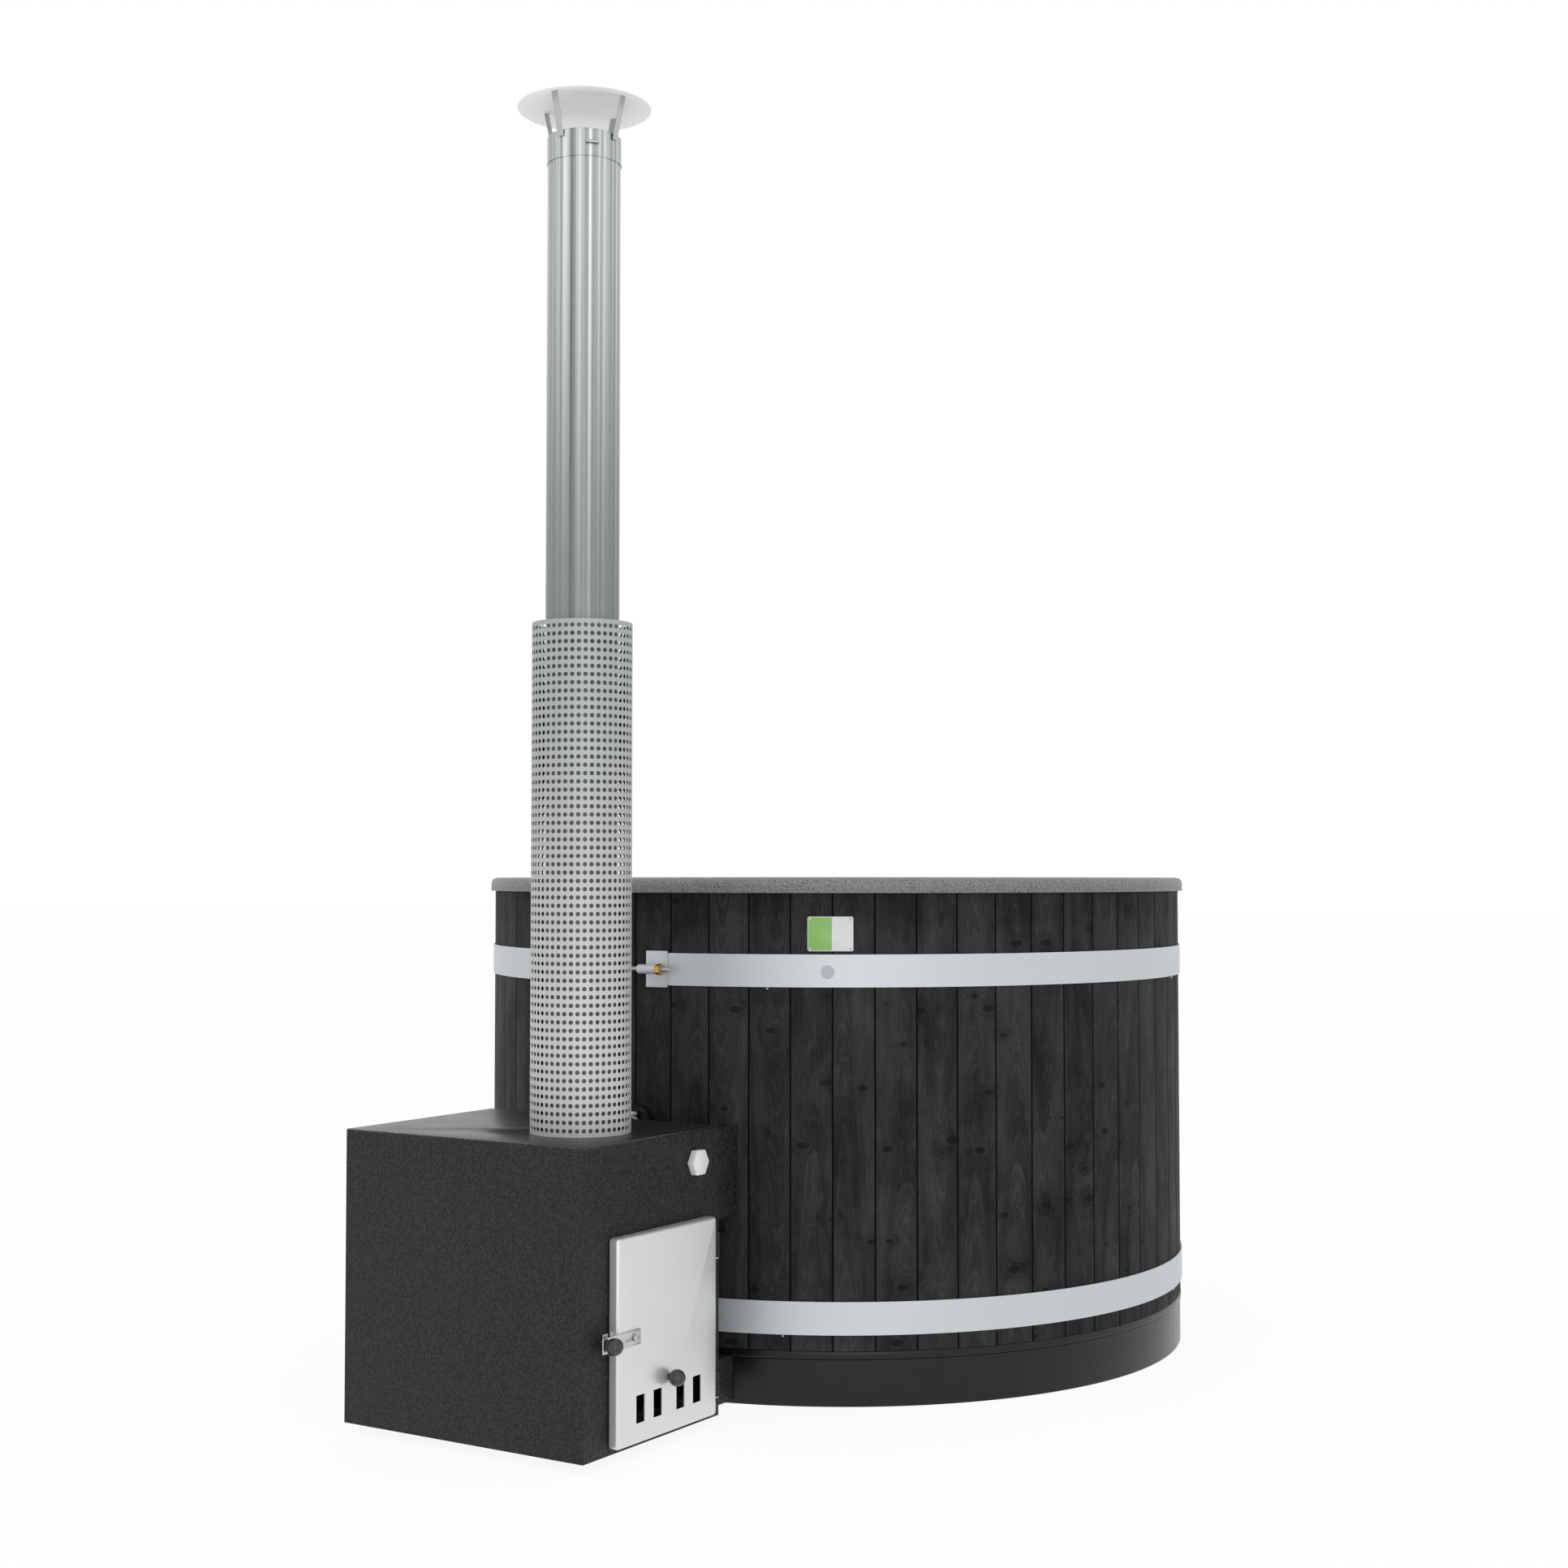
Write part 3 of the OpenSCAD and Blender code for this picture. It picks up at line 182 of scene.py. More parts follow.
class Finish(Graph):
    def __init__(self, name, color, **sockets):
        self.material = bpy.data.materials.new(name)
        self.material.use_nodes = True
        self.material.diffuse_color = (*color, 1)
        self.tree = self.material.node_tree
        self.shader = self.tree.nodes["Principled BSDF"]
        self.shader.inputs["Base Color"].default_value = (*color, 1)
        for key, value in sockets.items():
            self.shader.inputs[key.replace("_", " ")].default_value = value
        finishes[name] = self.material
        print("finish", name)

    def object_point(self, scale=(1, 1, 1)):
        """The point on the surface, in metres, stretched by scale."""
        point = self.node("TexCoord", out="Object")
        return self.node("VectorMath", {0: point, 1: scale}, operation="MULTIPLY")

    def noise(self, point, scale, detail=2.0, roughness=0.5):
        sockets = {"Vector": point, "Scale": scale, "Detail": detail, "Roughness": roughness}
        return self.node("TexNoise", sockets)

    def mix(self, factor, low, high):
        """A colour between low and high, which go into the Mix node's colour sockets 6 and 7."""
        colors = [c if isinstance(c, Wire) else (*c, 1) for c in (low, high)]
        return self.node("Mix", {0: factor, 6: colors[0], 7: colors[1]}, out=2, data_type="RGBA")

    def put(self, name, wire):
        self.tree.links.new(wire.socket, self.shader.inputs[name])

    def bump(self, height, distance, strength):
        sockets = {"Height": height, "Distance": distance, "Strength": strength}
        self.put("Normal", self.node("Bump", sockets))

# %% [markdown]
# ## Light and floor
# A pale studio is mostly white walls. An even white world stands for them, and two large
# soft lamps give the boards a direction. What the camera and the metal see of the room is
# plain white, while the floor keeps a faint shadow under the object. A third lamp stands low
# behind the camera and does what a white floor does: it lights what faces down.

# %% Light the room
scene.view_settings.view_transform = "Standard"
room_level = 0.7
world = bpy.data.worlds.new("studio")
world.use_nodes = True
scene.world = world
path = Wire.node(world.node_tree, "ShaderNodeLightPath", out="Is Camera Ray")
seen = path.math("MAXIMUM", path.other("Is Glossy Ray"))
seen = seen.math("MAXIMUM", path.other("Is Transmission Ray"))
background = world.node_tree.nodes["Background"]
background.inputs["Color"].default_value = (1, 1, 1, 1)
level = room_level + seen * (1 - room_level)
world.node_tree.links.new(level.socket, background.inputs["Strength"])


def lamp(name, place, target, size, power):
    light = bpy.data.lights.new(name, "AREA")
    light.shape = "SQUARE"
    light.size = size
    light.energy = power
    thing = add(name, light)
    thing.location = place
    thing.rotation_euler = (Vector(target) - Vector(place)).to_track_quat("-Z", "Y").to_euler()


lamp("key_lamp", place=(4.9, -4.4, 4.0), target=(0.2, -0.2, 0.8), size=4.0, power=24)
lamp("top_lamp", place=(0.5, -2.5, 6.0), target=(0, -0.5, 0.8), size=4.0, power=20)
lamp("low_lamp", place=(4.2, -5.8, 0.4), target=(0.3, -0.6, 1.0), size=3.2, power=74)

# %% Lay the floor
floor_reach = 60
floor_glow = 1.06
floor_glow_share = 0.85
paint = Finish("floor_paint", (0.82, 0.82, 0.82), Roughness=0.9)
glow = paint.node("Emission", {"Strength": floor_glow})
both = paint.node("MixShader", {0: floor_glow_share, 2: glow})
paint.tree.links.new(paint.shader.outputs[0], both.socket.node.inputs[1])
paint.tree.links.new(both.socket, paint.tree.nodes["Material Output"].inputs["Surface"])
paint.material.cycles.emission_sampling = "NONE"
mesh = bpy.data.meshes.new("floor")
corners = [(x * floor_reach, y * floor_reach, 0) for x, y in ((-1, -1), (1, -1), (1, 1), (-1, 1))]
mesh.from_pydata(corners, [], [(0, 1, 2, 3)])
mesh.materials.append(paint.material)
add("floor", mesh)

# %% [markdown]
# ## Stained spruce
# The boards are planed spruce with a charcoal stain. A flat-sawn board shows the growth rings
# as tall pointed arches. Bands of noise alone look like marble, so a parabola in the board's
# own coordinates gives the arches, and knots push them aside. The stain lies in clouds. The
# attribute "grain" holds the coordinates: across, up, and a number of the board's own, so
# that no two boards show the same wood.

# %% A board's own coordinates and its knots
board_shift = 7.31
knot_shift = 17.3
knot_cells = (10.0, 7.0)
knot_size = (15.0 * mm, 8.5 * mm)
knot_luck = (0.34, 0.36)
far_away = 50.0


class Board(Finish):
    """A wood finish with the board's coordinates, and noise that is its own on each board."""

    def __init__(self, name, color, **sockets):
        super().__init__(name, color, **sockets)
        grain = self.node("Attribute", attribute_name="grain", out=1)
        self.across, self.up, self.number = grain.parts()

    def field(self, across, up, detail=2.0, rough=0.5):
        """Noise with so many waves a metre across and up the board."""
        place = {0: self.across * across, 1: self.up * up, 2: self.number * board_shift}
        return self.noise(self.node("CombineXYZ", place), 1.0, detail, rough)

    def chance(self, shift):
        """A random number from 0 to 1 for each board."""
        return self.node("TexWhiteNoise", {"W": self.number + shift}, out="Value", noise_dimensions="1D")

    def knots(self):
        """The distance from the nearest knot, which is 1 at the knot's own edge."""
        wide, tall = knot_cells
        place = {0: self.across * wide + self.number * knot_shift, 1: self.up * tall}
        cell = self.node("CombineXYZ", place)
        pattern = self.node("TexVoronoi", {"Vector": cell, "Scale": 1.0}, voronoi_dimensions="2D")
        middle = {0: cell, 1: pattern.other("Position")}
        x, y, _ = self.node("VectorMath", middle, operation="SUBTRACT").parts()
        x = x * (1 / (wide * knot_size[0]))
        y = y * (1 / (tall * knot_size[1]))
        luck, girth, _ = pattern.other("Color").parts()
        distance = (x * x + y * y).math("SQRT") / (girth * 0.9 + 0.45)
        missing = 1 - luck.step(*knot_luck)
        return distance + missing * far_away


# %% Growth rings that bend round the knots
arch_bow = 3200.0
arch_wander = 0.06
rings_up = 16.0
ring_wobble = 7.0
knot_push = 3.4
rings_alike = 0.34
line_sharpness = 3.5


def growth_rings(board, knot):
    """Thin pale lines, one at each growth ring, as arches with their tips up or down."""
    middle = board.across - (board.chance(3.1) - 0.5) * arch_wander
    tips = (board.chance(5.7) - 0.5).math("SIGN")
    bow = middle * middle * (tips * arch_bow)
    push = 1 - knot.step(0.5, 4.5)
    age = bow + board.up * rings_up + board.field(9.0, 2.6, 3.0) * ring_wobble + push * knot_push
    wave = (age.math("FRACT") * 2.0 - 1.0).math("ABSOLUTE")
    group = (age * rings_alike).math("FLOOR")
    year = board.node("TexWhiteNoise", {"W": group}, noise_dimensions="1D")
    return (1 - wave) ** line_sharpness, year


# %% The stain, as layers that darken or lighten the wood, with a painted shade under the rim
plain_shade = 0.33
seam_joint_and_shade = (0.002, 0.002, 0.002)
seam_from = 42.6 * mm
seam_to = 45.0 * mm
wood_relief = 0.5 * mm


def stained(name, dark, light, gloss):
    board = Board(name, light, Roughness=0.62, Specular_IOR_Level=gloss)
    knot = board.knots()
    line, year = growth_rings(board, knot)
    cloud = board.field(15.0, 4.0, 3.0, 0.6)
    patch = board.field(5.0, 9.0)
    fibre = board.field(520.0, 7.0)
    fleck = board.field(60.0, 26.0, 3.0, 0.7).step(0.48, 0.72)
    halo = 1 - (knot - 1.0).math("ABSOLUTE").step(0.0, 0.45)
    heart = 1 - knot.step(0.3, 1.0)
    smoke = 1 - knot.step(0.8, 2.8)
    # painted shade: the tops of the boards are darker just under the rim, where the rim shades them
    painted_rim_shade = board.up.step(0.99, 1.07)
    layers = [
        (cloud - 0.5, 0.80),
        (patch - 0.5, 0.35),
        (year - 0.5, 0.18),
        (fibre - 0.5, 0.34),
        (board.chance(1.0) - 0.5, 0.14),
        (line * cloud.step(0.25, 0.60), 0.28),
        (fleck, 0.16),
        (halo, 0.11),
        (heart, -0.28),
        (smoke, -0.12),
        (painted_rim_shade, -0.16),
    ]
    shade = plain_shade
    for layer, weight in layers:
        shade = layer * weight + shade
    # the seams are painted nearly black: partly the dark joint between boards, partly painted shade in the
    # grooves
    seam = board.across.math("ABSOLUTE").step(seam_from, seam_to)
    color = board.mix(shade.step(-0.15, 1.15), dark, light)
    board.put("Base Color", board.mix(seam * 0.92, color, seam_joint_and_shade))
    board.put("Roughness", 0.70 - cloud * 0.2)
    board.bump(line * 0.5 + fibre * 0.5 - heart, wood_relief, 0.5)


stained("stained_wood", dark=(0.0080, 0.0088, 0.0080), light=(0.055, 0.059, 0.055), gloss=0.05)

# %% [markdown]
# ## Speckled liner
# The liner is moulded from grey plastic with darker and lighter flecks in it. A Voronoi
# pattern would give flecks of one size, so two noises of different size scatter them, and
# the finer one also varies the gloss. The rim's upper side is painted a little paler than
# the rest, as painted light from above.

# %% Speckles
clumps_a_metre = 240.0
flecks_a_metre = 560.0
fleck_relief = 0.4 * mm
rim_pale_from = 1108 * mm
rim_pale_to = 1134 * mm
liner_grey = (0.125, 0.132, 0.132)
liner_pale = (0.37, 0.38, 0.375)
liner_dark = (0.065, 0.070, 0.072)
shell = Finish("speckled_liner", (0.2, 0.21, 0.21), Roughness=0.5, Specular_IOR_Level=0.5)
point = shell.object_point()
clump = shell.noise(point, clumps_a_metre, 3.0, 0.6)
fleck = shell.noise(point, flecks_a_metre, 2.0, 0.7)
grey = shell.mix(fleck.step(0.47, 0.66), liner_grey, liner_pale)
grey = shell.mix(clump.step(0.56, 0.64), grey, liner_dark)
# painted light: the rim's top is painted paler, as if lit more from above
painted_rim_light = point.parts()[2].step(rim_pale_from, rim_pale_to) * 0.30 + 0.86
painted_light_scale = shell.node("CombineXYZ", {0: painted_rim_light, 1: painted_rim_light, 2: painted_rim_light})
shell.put("Base Color", shell.node("VectorMath", {0: grey, 1: painted_light_scale}, operation="MULTIPLY"))
shell.put("Roughness", 0.36 + fleck * 0.2)
shell.bump(fleck + clump, fleck_relief, 0.35)

# %% [markdown]
# ## Painted and plastic blacks
# The heater's casing has a coarse powder coat that breaks the light into small glints, and
# its top plate a smoother one that mirrors the flue a little. The skirt is dull plastic. One
# recipe makes them all, because only the lumps a metre, their depth and the shine differ.

# %% Blacks
def coated(name, color, grain, depth, rough, gloss, contrast=0.5):
    finish = Finish(name, color, Roughness=rough, Specular_IOR_Level=gloss)
    point = finish.object_point()
    lumps = finish.noise(point, grain, 2.0, 0.6)
    wide = finish.noise(point, grain * 0.03)
    lift = (lumps - 0.5) * contrast + (wide - 0.5) * 0.3 + 0.5
    low = tuple(c * 0.45 for c in color)
    high = tuple(c * 1.65 for c in color)
    finish.put("Base Color", finish.mix(lift.step(0.1, 0.9), low, high))
    finish.put("Roughness", rough + (wide - 0.5) * 0.12)
    finish.bump(lumps, depth, 0.8)


coated("textured_black", (0.0135, 0.0150, 0.0143), 190, 5.0 * mm, rough=0.5, gloss=0.26, contrast=4.4)
coated("top_black", (0.0125, 0.014, 0.0145), 500, 0.02 * mm, rough=0.33, gloss=0.34)
coated("black_plastic", (0.0028, 0.0034, 0.0031), 900, 0.1 * mm, rough=0.27, gloss=0.33)
coated("knob_black", (0.030, 0.031, 0.031), 1500, 0.06 * mm, rough=0.3, gloss=0.5)
coated("hose_rubber", (0.014, 0.014, 0.014), 700, 0.2 * mm, rough=0.6, gloss=0.3)
coated("cast_iron", (0.028, 0.028, 0.029), 420, 0.8 * mm, rough=0.7, gloss=0.3)
coated("soot", (0.006, 0.006, 0.006), 420, 0.4 * mm, rough=0.9, gloss=0.08)

# %% [markdown]
# ## Metals
# Sheet metal is never an even mirror. Rolling leaves lines along the sheet, and hands and
# tools leave cloudy patches. So each metal mixes noise into its colour and roughness,
# stretched the way its sheet was rolled.

# %% Brushed, rolled and plated metals
def brushed(name, color, rough, fine, lines, clouds, along=(1, 1, 1), metallic=1.0, relief=0.04 * mm):
    finish = Finish(name, color, Roughness=rough, Metallic=metallic)
    streak = finish.noise(finish.object_point(along), fine, 2.0, 0.6)
    cloud = finish.noise(finish.object_point(), 5.0, 3.0, 0.55)
    tone = (streak - 0.5) * lines + (cloud - 0.5) * clouds + 0.5
    low = tuple(c * 0.6 for c in color)
    high = tuple(c * 1.4 for c in color)
    finish.put("Base Color", finish.mix(tone, low, high))
    finish.put("Roughness", rough + (streak - 0.5) * lines + (cloud - 0.5) * 0.12)
    if relief:
        finish.bump(streak, relief, 0.5)


upright = (1, 1, 0.1)
brushed("band_metal", (0.555, 0.58, 0.60), 0.5, 300, lines=0.05, clouds=0.06, metallic=0.45)
brushed("door_steel", (0.70, 0.71, 0.705), 0.32, 400, lines=0.02, clouds=0.05, along=(1, 0.05, 1),
        metallic=0.62, relief=0)
brushed("steel", (0.55, 0.56, 0.56), 0.3, 800, lines=0.14, clouds=0.1, along=(1, 1, 0.05))
brushed("zinc_steel", (0.48, 0.49, 0.5), 0.36, 260, lines=0.18, clouds=0.16)
brushed("dull_steel", (0.30, 0.305, 0.305), 0.5, 200, lines=0.3, clouds=0.2, along=upright, metallic=0.5)
brushed("tank_metal", (0.2, 0.2, 0.2), 0.5, 200, lines=0.3, clouds=0.3, along=upright)
brushed("clamp_chrome", (0.85, 0.86, 0.87), 0.12, 400, lines=0.06, clouds=0.06, metallic=0.5)
brushed("cap_metal", (0.97, 0.98, 0.975), 0.68, 200, lines=0.04, clouds=0.05, metallic=0.0)
brushed("pale_steel", (0.72, 0.73, 0.725), 0.45, 200, lines=0.04, clouds=0.05, metallic=0.0)
brushed("brass", (0.52, 0.33, 0.09), 0.25, 300, lines=0.2, clouds=0.2)

# %% [markdown]
# ## The flue's polished sheet
# The flue is rolled from bright sheet. Its long streaks are painted reflections of the room,
# as a slightly wavy sheet shows them, running up it from end to end. They follow the angle
# round the flue's own axis, so that they stay on the sheet from every side. The upper end is
# painted brighter with stronger painted reflections, and the lower end darker and plainer.

# %% Painted reflection streaks that run up the flue
bright_from, bright_to = 0.62, 0.98
painted_reflection_dark = (0.06, 0.064, 0.064)
painted_reflection_pale = (0.90, 0.95, 0.95)
streak_relief = 0.8 * mm
flue_low, flue_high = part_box("flue_upper")
flue_axis = (flue_low + flue_high) / 2
flue_top = flue_high.z
pipe = Finish("polished_steel", (0.42, 0.43, 0.43), Roughness=0.2, Metallic=1.0)
x, y, z = pipe.node("TexCoord", out="Object").parts()
angle = (y - flue_axis.y).math("ARCTAN2", x - flue_axis.x)
# painted light: the upper end is painted brighter with stronger streaks, the lower end darker
high = (z / flue_top).step(bright_from, bright_to)
place = pipe.node("CombineXYZ", {0: angle.math("COSINE"), 1: angle.math("SINE"), 2: z * 0.02})
wide = pipe.noise(place, 4.0, 1.0, 0.5)
thin = pipe.noise(place, 10.0, 1.5, 0.6)
dust = pipe.noise(pipe.object_point((1, 1, 0.25)), 160.0, 2.0, 0.6)
# the streaks are painted reflections of the room, mixed into the colour
streak = (wide - 0.5) * 1.2 + (thin - 0.5) * 1.9
tone = 0.22 + streak * (0.17 + high * 0.62) + high * 0.28 + (dust - 0.5) * 0.05
pipe.put("Base Color", pipe.mix(tone, painted_reflection_dark, painted_reflection_pale))
pipe.put("Roughness", 0.48 - high * 0.14 + (thin - 0.5) * 0.15)
pipe.bump(thin + wide, streak_relief, 0.2)

# %% [markdown]
# ## From a mesh to a piece
# A piece is a mesh with a finish that rides on one body of the frame. Two ways of making a
# mesh come back all through the lesson: an outline turned round an axis, as on a lathe, and
# a copy of a measured solid whose sharp edges are rounded, because no real edge is sharp.

# %% Pieces, shading and modifiers
def piece(name, mesh, finish, body="tub", nodes=()):
    if finish:
        mesh.materials.clear()
        mesh.materials.append(finishes[finish])
    thing = add(name, mesh)
    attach(thing, body)
    if nodes:
        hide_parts(*nodes)
    print("piece", name, "on", body, "with", len(mesh.polygons), "faces")


def as_mesh(shape, name):
    """Ends the work on a shape and gives back its mesh."""
    mesh = bpy.data.meshes.new(name)
    shape.to_mesh(mesh)
    shape.free()
    return mesh


def crisp(mesh, degrees=35):
    """Shades a mesh smooth, but keeps the edges sharp where it turns by more than degrees."""
    shape = bmesh.new()
    shape.from_mesh(mesh)
    for face in shape.faces:
        face.smooth = True
    for edge in shape.edges:
        edge.smooth = edge.is_manifold and edge.calc_face_angle(0) < math.radians(degrees)
    shape.to_mesh(mesh)
    shape.free()
    return mesh


def modified(mesh, kind, node_group=None, sizes=None, **settings):
    """The plain mesh that one modifier makes of this mesh."""
    work = add("work", mesh)
    modifier = work.modifiers.new(kind.lower(), kind)
    if node_group:
        modifier.node_group = node_group
        for item in node_group.interface.items_tree:
            if item.in_out == "INPUT" and item.name in sizes:
                modifier[item.identifier] = sizes[item.name]
    for key, value in settings.items():
        setattr(modifier, key, value)
    done = work.evaluated_get(bpy.context.evaluated_depsgraph_get())
    made = bpy.data.meshes.new_from_object(done)
    bpy.data.objects.remove(work)
    return made


# %% Outlines
def arc(x, z, radius, start, end, count):
    """Points of an arc, by its middle, radius and two angles in degrees."""
    angles = [math.radians(start + (end - start) * i / count) for i in range(count + 1)]
    return [(x + radius * math.cos(a), z + radius * math.sin(a)) for a in angles]


def box_line(left, right, bottom, top):
    return [(left, bottom), (right, bottom), (right, top), (left, top)]


def round_box_line(left, right, bottom, top, radius):
    """A box whose corners are arcs."""
    x_low, x_high = left + radius, right - radius
    y_low, y_high = bottom + radius, top - radius
    corners = [(x_high, y_high, 0), (x_low, y_high, 90), (x_low, y_low, 180), (x_high, y_low, 270)]
    return [point for x, y, turn in corners for point in arc(x, y, radius, turn, turn + 90, 6)]


def walls(shape, rings):
    """Faces from each ring of points to the next."""
    for low, high in zip(rings, rings[1:]):
        for i in range(len(low)):
            j = (i + 1) % len(low)
            shape.faces.new((low[i], low[j], high[j], high[i]))


def closed_shell(name, outlines):
    """A closed mesh through outlines that have the same number of points."""
    shape = bmesh.new()
    rings = [[shape.verts.new(point) for point in outline] for outline in outlines]
    walls(shape, rings)
    shape.faces.new(list(reversed(rings[0])))
    shape.faces.new(rings[-1])
    bmesh.ops.recalc_face_normals(shape, faces=shape.faces)
    return as_mesh(shape, name)


# %% Turned outlines and rounded copies
on_axis = 1e-7
same_point = 0.02 * mm
flat_angle = math.radians(0.5)
bevel_angle = math.radians(40)


def turned(outline, place=(0, 0, 0), turn=Matrix.Identity(3), count=160, closed=True, degrees=35):
    """Turns an outline of (radius, height) points round the Z axis, then turns and moves it."""
    shape = bmesh.new()
    rings = []
    for radius, height in outline:
        steps = count if radius > on_axis else 1
        angles = [2 * math.pi * i / steps for i in range(steps)]
        points = [Vector((radius * math.cos(a), radius * math.sin(a), height)) for a in angles]
        rings.append([shape.verts.new(turn @ p + Vector(place)) for p in points])
    if closed:
        rings.append(rings[0])
    for low, high in zip(rings, rings[1:]):
        for i in range(count):
            below, above = [[ring[k % len(ring)] for k in (i, i + 1)] for ring in (low, high)]
            corners = list(dict.fromkeys((*below, *reversed(above))))
            if len(corners) > 2:
                shape.faces.new(corners)
    bmesh.ops.recalc_face_normals(shape, faces=shape.faces)
    return crisp(as_mesh(shape, "turned"), degrees)


def merged(node):
    """A copy of a CAD node's mesh as one closed skin with flat faces joined."""
    shape = bmesh.new()
    shape.from_mesh(frame["nodes"][node].data)
    bmesh.ops.remove_doubles(shape, verts=shape.verts, dist=same_point)
    bmesh.ops.dissolve_limit(shape, angle_limit=flat_angle, verts=shape.verts, edges=shape.edges)
    return as_mesh(shape, node)


def rounded(node, width, finish, body="tub", segments=2, edge_finish=None):
    """Makes a piece of a CAD node with its edges rounded, which stands for the node."""
    mesh = merged(node)
    mesh.materials.append(finishes[finish])
    edge_index = -1
    if edge_finish:
        mesh.materials.append(finishes[edge_finish])
        edge_index = 1
    made = modified(crisp(mesh, 30), "BEVEL", width=width * mm, segments=segments, limit_method="ANGLE",
                    angle_limit=bevel_angle, material=edge_index, use_clamp_overlap=True)
    piece(node + "_skin", crisp(made, 50), None, body, (node,))


def joined(name, placed):
    """One mesh from pairs of a mesh and its place."""
    shape = bmesh.new()
    for mesh, place in placed:
        copy = mesh.copy()
        copy.transform(place)
        shape.from_mesh(copy)
    return as_mesh(shape, name)


# %% [markdown]
# ## Patterns with Geometry Nodes
# What repeats is made by a tree of Geometry Nodes, so its counts and sizes are inputs that
# can be changed in one place. The class below opens such a tree, gives it named inputs, and
# at the end realizes the instances, sets the material and hands back a plain mesh.

# %% A tree of Geometry Nodes with named inputs
class Pattern(Graph):
    family = "GeometryNode"

    def __init__(self, name, **sizes):
        self.tree = bpy.data.node_groups.new(name, "GeometryNodeTree")
        self.sizes = sizes
        face = self.tree.interface
        face.new_socket("Geometry", in_out="INPUT", socket_type="NodeSocketGeometry")
        face.new_socket("Geometry", in_out="OUTPUT", socket_type="NodeSocketGeometry")
        for key, value in sizes.items():
            kind = "NodeSocketInt" if isinstance(value, int) else "NodeSocketFloat"
            face.new_socket(key, in_out="INPUT", socket_type=kind)
        self.inputs = self.tree.nodes.new("NodeGroupInput")

    def size(self, key):
        return Wire(self.tree, self.inputs.outputs[key])

    def attribute(self, name, kind):
        return self.node("InputNamedAttribute", {"Name": name}, data_type=kind)

    def store(self, shape, name, value, kind, domain):
        sockets = {0: shape, "Name": name, "Value": value}
        return self.node("StoreNamedAttribute", sockets, data_type=kind, domain=domain)

    def point(self, x=0.0, y=0.0, z=0.0):
        return Wire.node(self.tree, "ShaderNodeCombineXYZ", {0: x, 1: y, 2: z})

    def join(self, *shapes):
        joint = self.node("JoinGeometry")
        for shape in shapes:
            self.tree.links.new(shape.socket, joint.socket.node.inputs[0])
        return joint

    def weld(self, shape):
        return self.node("MergeByDistance", {0: shape, "Distance": same_point})

    def mesh(self, shape, finish, start=None):
        """Ends the tree and gives back the mesh that it grows from the start mesh."""
        real = self.node("RealizeInstances", {0: shape})
        real = self.node("SetMaterial", {0: real, "Material": finishes[finish]})
        output = self.tree.nodes.new("NodeGroupOutput")
        self.tree.links.new(real.socket, output.inputs[0])
        return modified(start or bpy.data.meshes.new("start"), "NODES", self.tree, self.sizes)


# %% [markdown]
# ## The staves
# The wall is 59 flat boards, each tapered to its share of the circle, so their faces make a
# polygon and their long edges thin dark seams. A turned wall with lines drawn on it would be
# too round, so one board is modelled with rounded edges. The tree stands it round the tub,
# sets each one back by a hair, and gives each its own number for the grain.

# %% Model one stave and stand it round the tub
stave_low, stave_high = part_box("staves")
stave_count = 59
stave_cover = 92 * mm
stave_turn = 2 * math.pi / stave_count
stave_thick = 28 * mm
stave_gap = 0.4 * mm
stave_edge = 2.2 * mm
stave_setback = 0.35 * mm
tub_radius = stave_count * stave_cover / (2 * math.pi)
stave_face = tub_radius * math.cos(stave_turn / 2)


def one_stave():
    back = tub_radius - stave_thick
    half_out = tub_radius * math.sin(stave_turn / 2) - stave_gap / 2
    half_in = back * math.tan(stave_turn / 2) - stave_gap / 2
    corner = arc(stave_face - stave_edge, half_out - stave_edge, stave_edge, 0, 90, 4)
    mirrored = [(x, -y) for x, y in reversed(corner)]
    section = [(back, -half_in)] + mirrored + corner + [(back, half_in)]
    mesh = closed_shell("stave", [[(x, y, z) for x, y in section] for z in (stave_low.z, stave_high.z)])
    place = mesh.attributes.new("place", "FLOAT_VECTOR", "POINT")
    for vertex in mesh.vertices:
        place.data[vertex.index].vector = (vertex.co.y, vertex.co.z, 0)
    return mesh


def stave_ring():
    pattern = Pattern("stave_ring", Boards=stave_count, Setback=stave_setback, Seed=7)
    node, size = pattern.node, pattern.size
    index = node("InputIndex")
    points = node("Points", {"Count": size("Boards")})
    angle = (index + 0.5) * (2 * math.pi) / size("Boards") - math.pi / 2
    sockets = {"Points": points, "Instance": size("Geometry"), "Rotation": pattern.point(z=angle)}
    boards = node("InstanceOnPoints", sockets)
    random = {"ID": index, "Seed": size("Seed")}
    chance = Wire.node(pattern.tree, "FunctionNodeRandomValue", random, out=1, data_type="FLOAT")
    back = pattern.point(x=chance * size("Setback") * -1.0)
    boards = node("TranslateInstances", {0: boards, "Translation": back, "Local Space": True})
    boards = pattern.store(boards, "board", index * 1.0, "FLOAT", "INSTANCE")
    real = node("RealizeInstances", {0: boards})
    across, up, _ = pattern.attribute("place", "FLOAT_VECTOR").parts()
    grain = pattern.point(across, up, pattern.attribute("board", "FLOAT"))
    real = pattern.store(real, "grain", grain, "FLOAT_VECTOR", "POINT")
    return pattern.mesh(real, "stained_wood", one_stave())


piece("stave_ring", crisp(stave_ring()), None, nodes=("staves", "inlet_staves"))
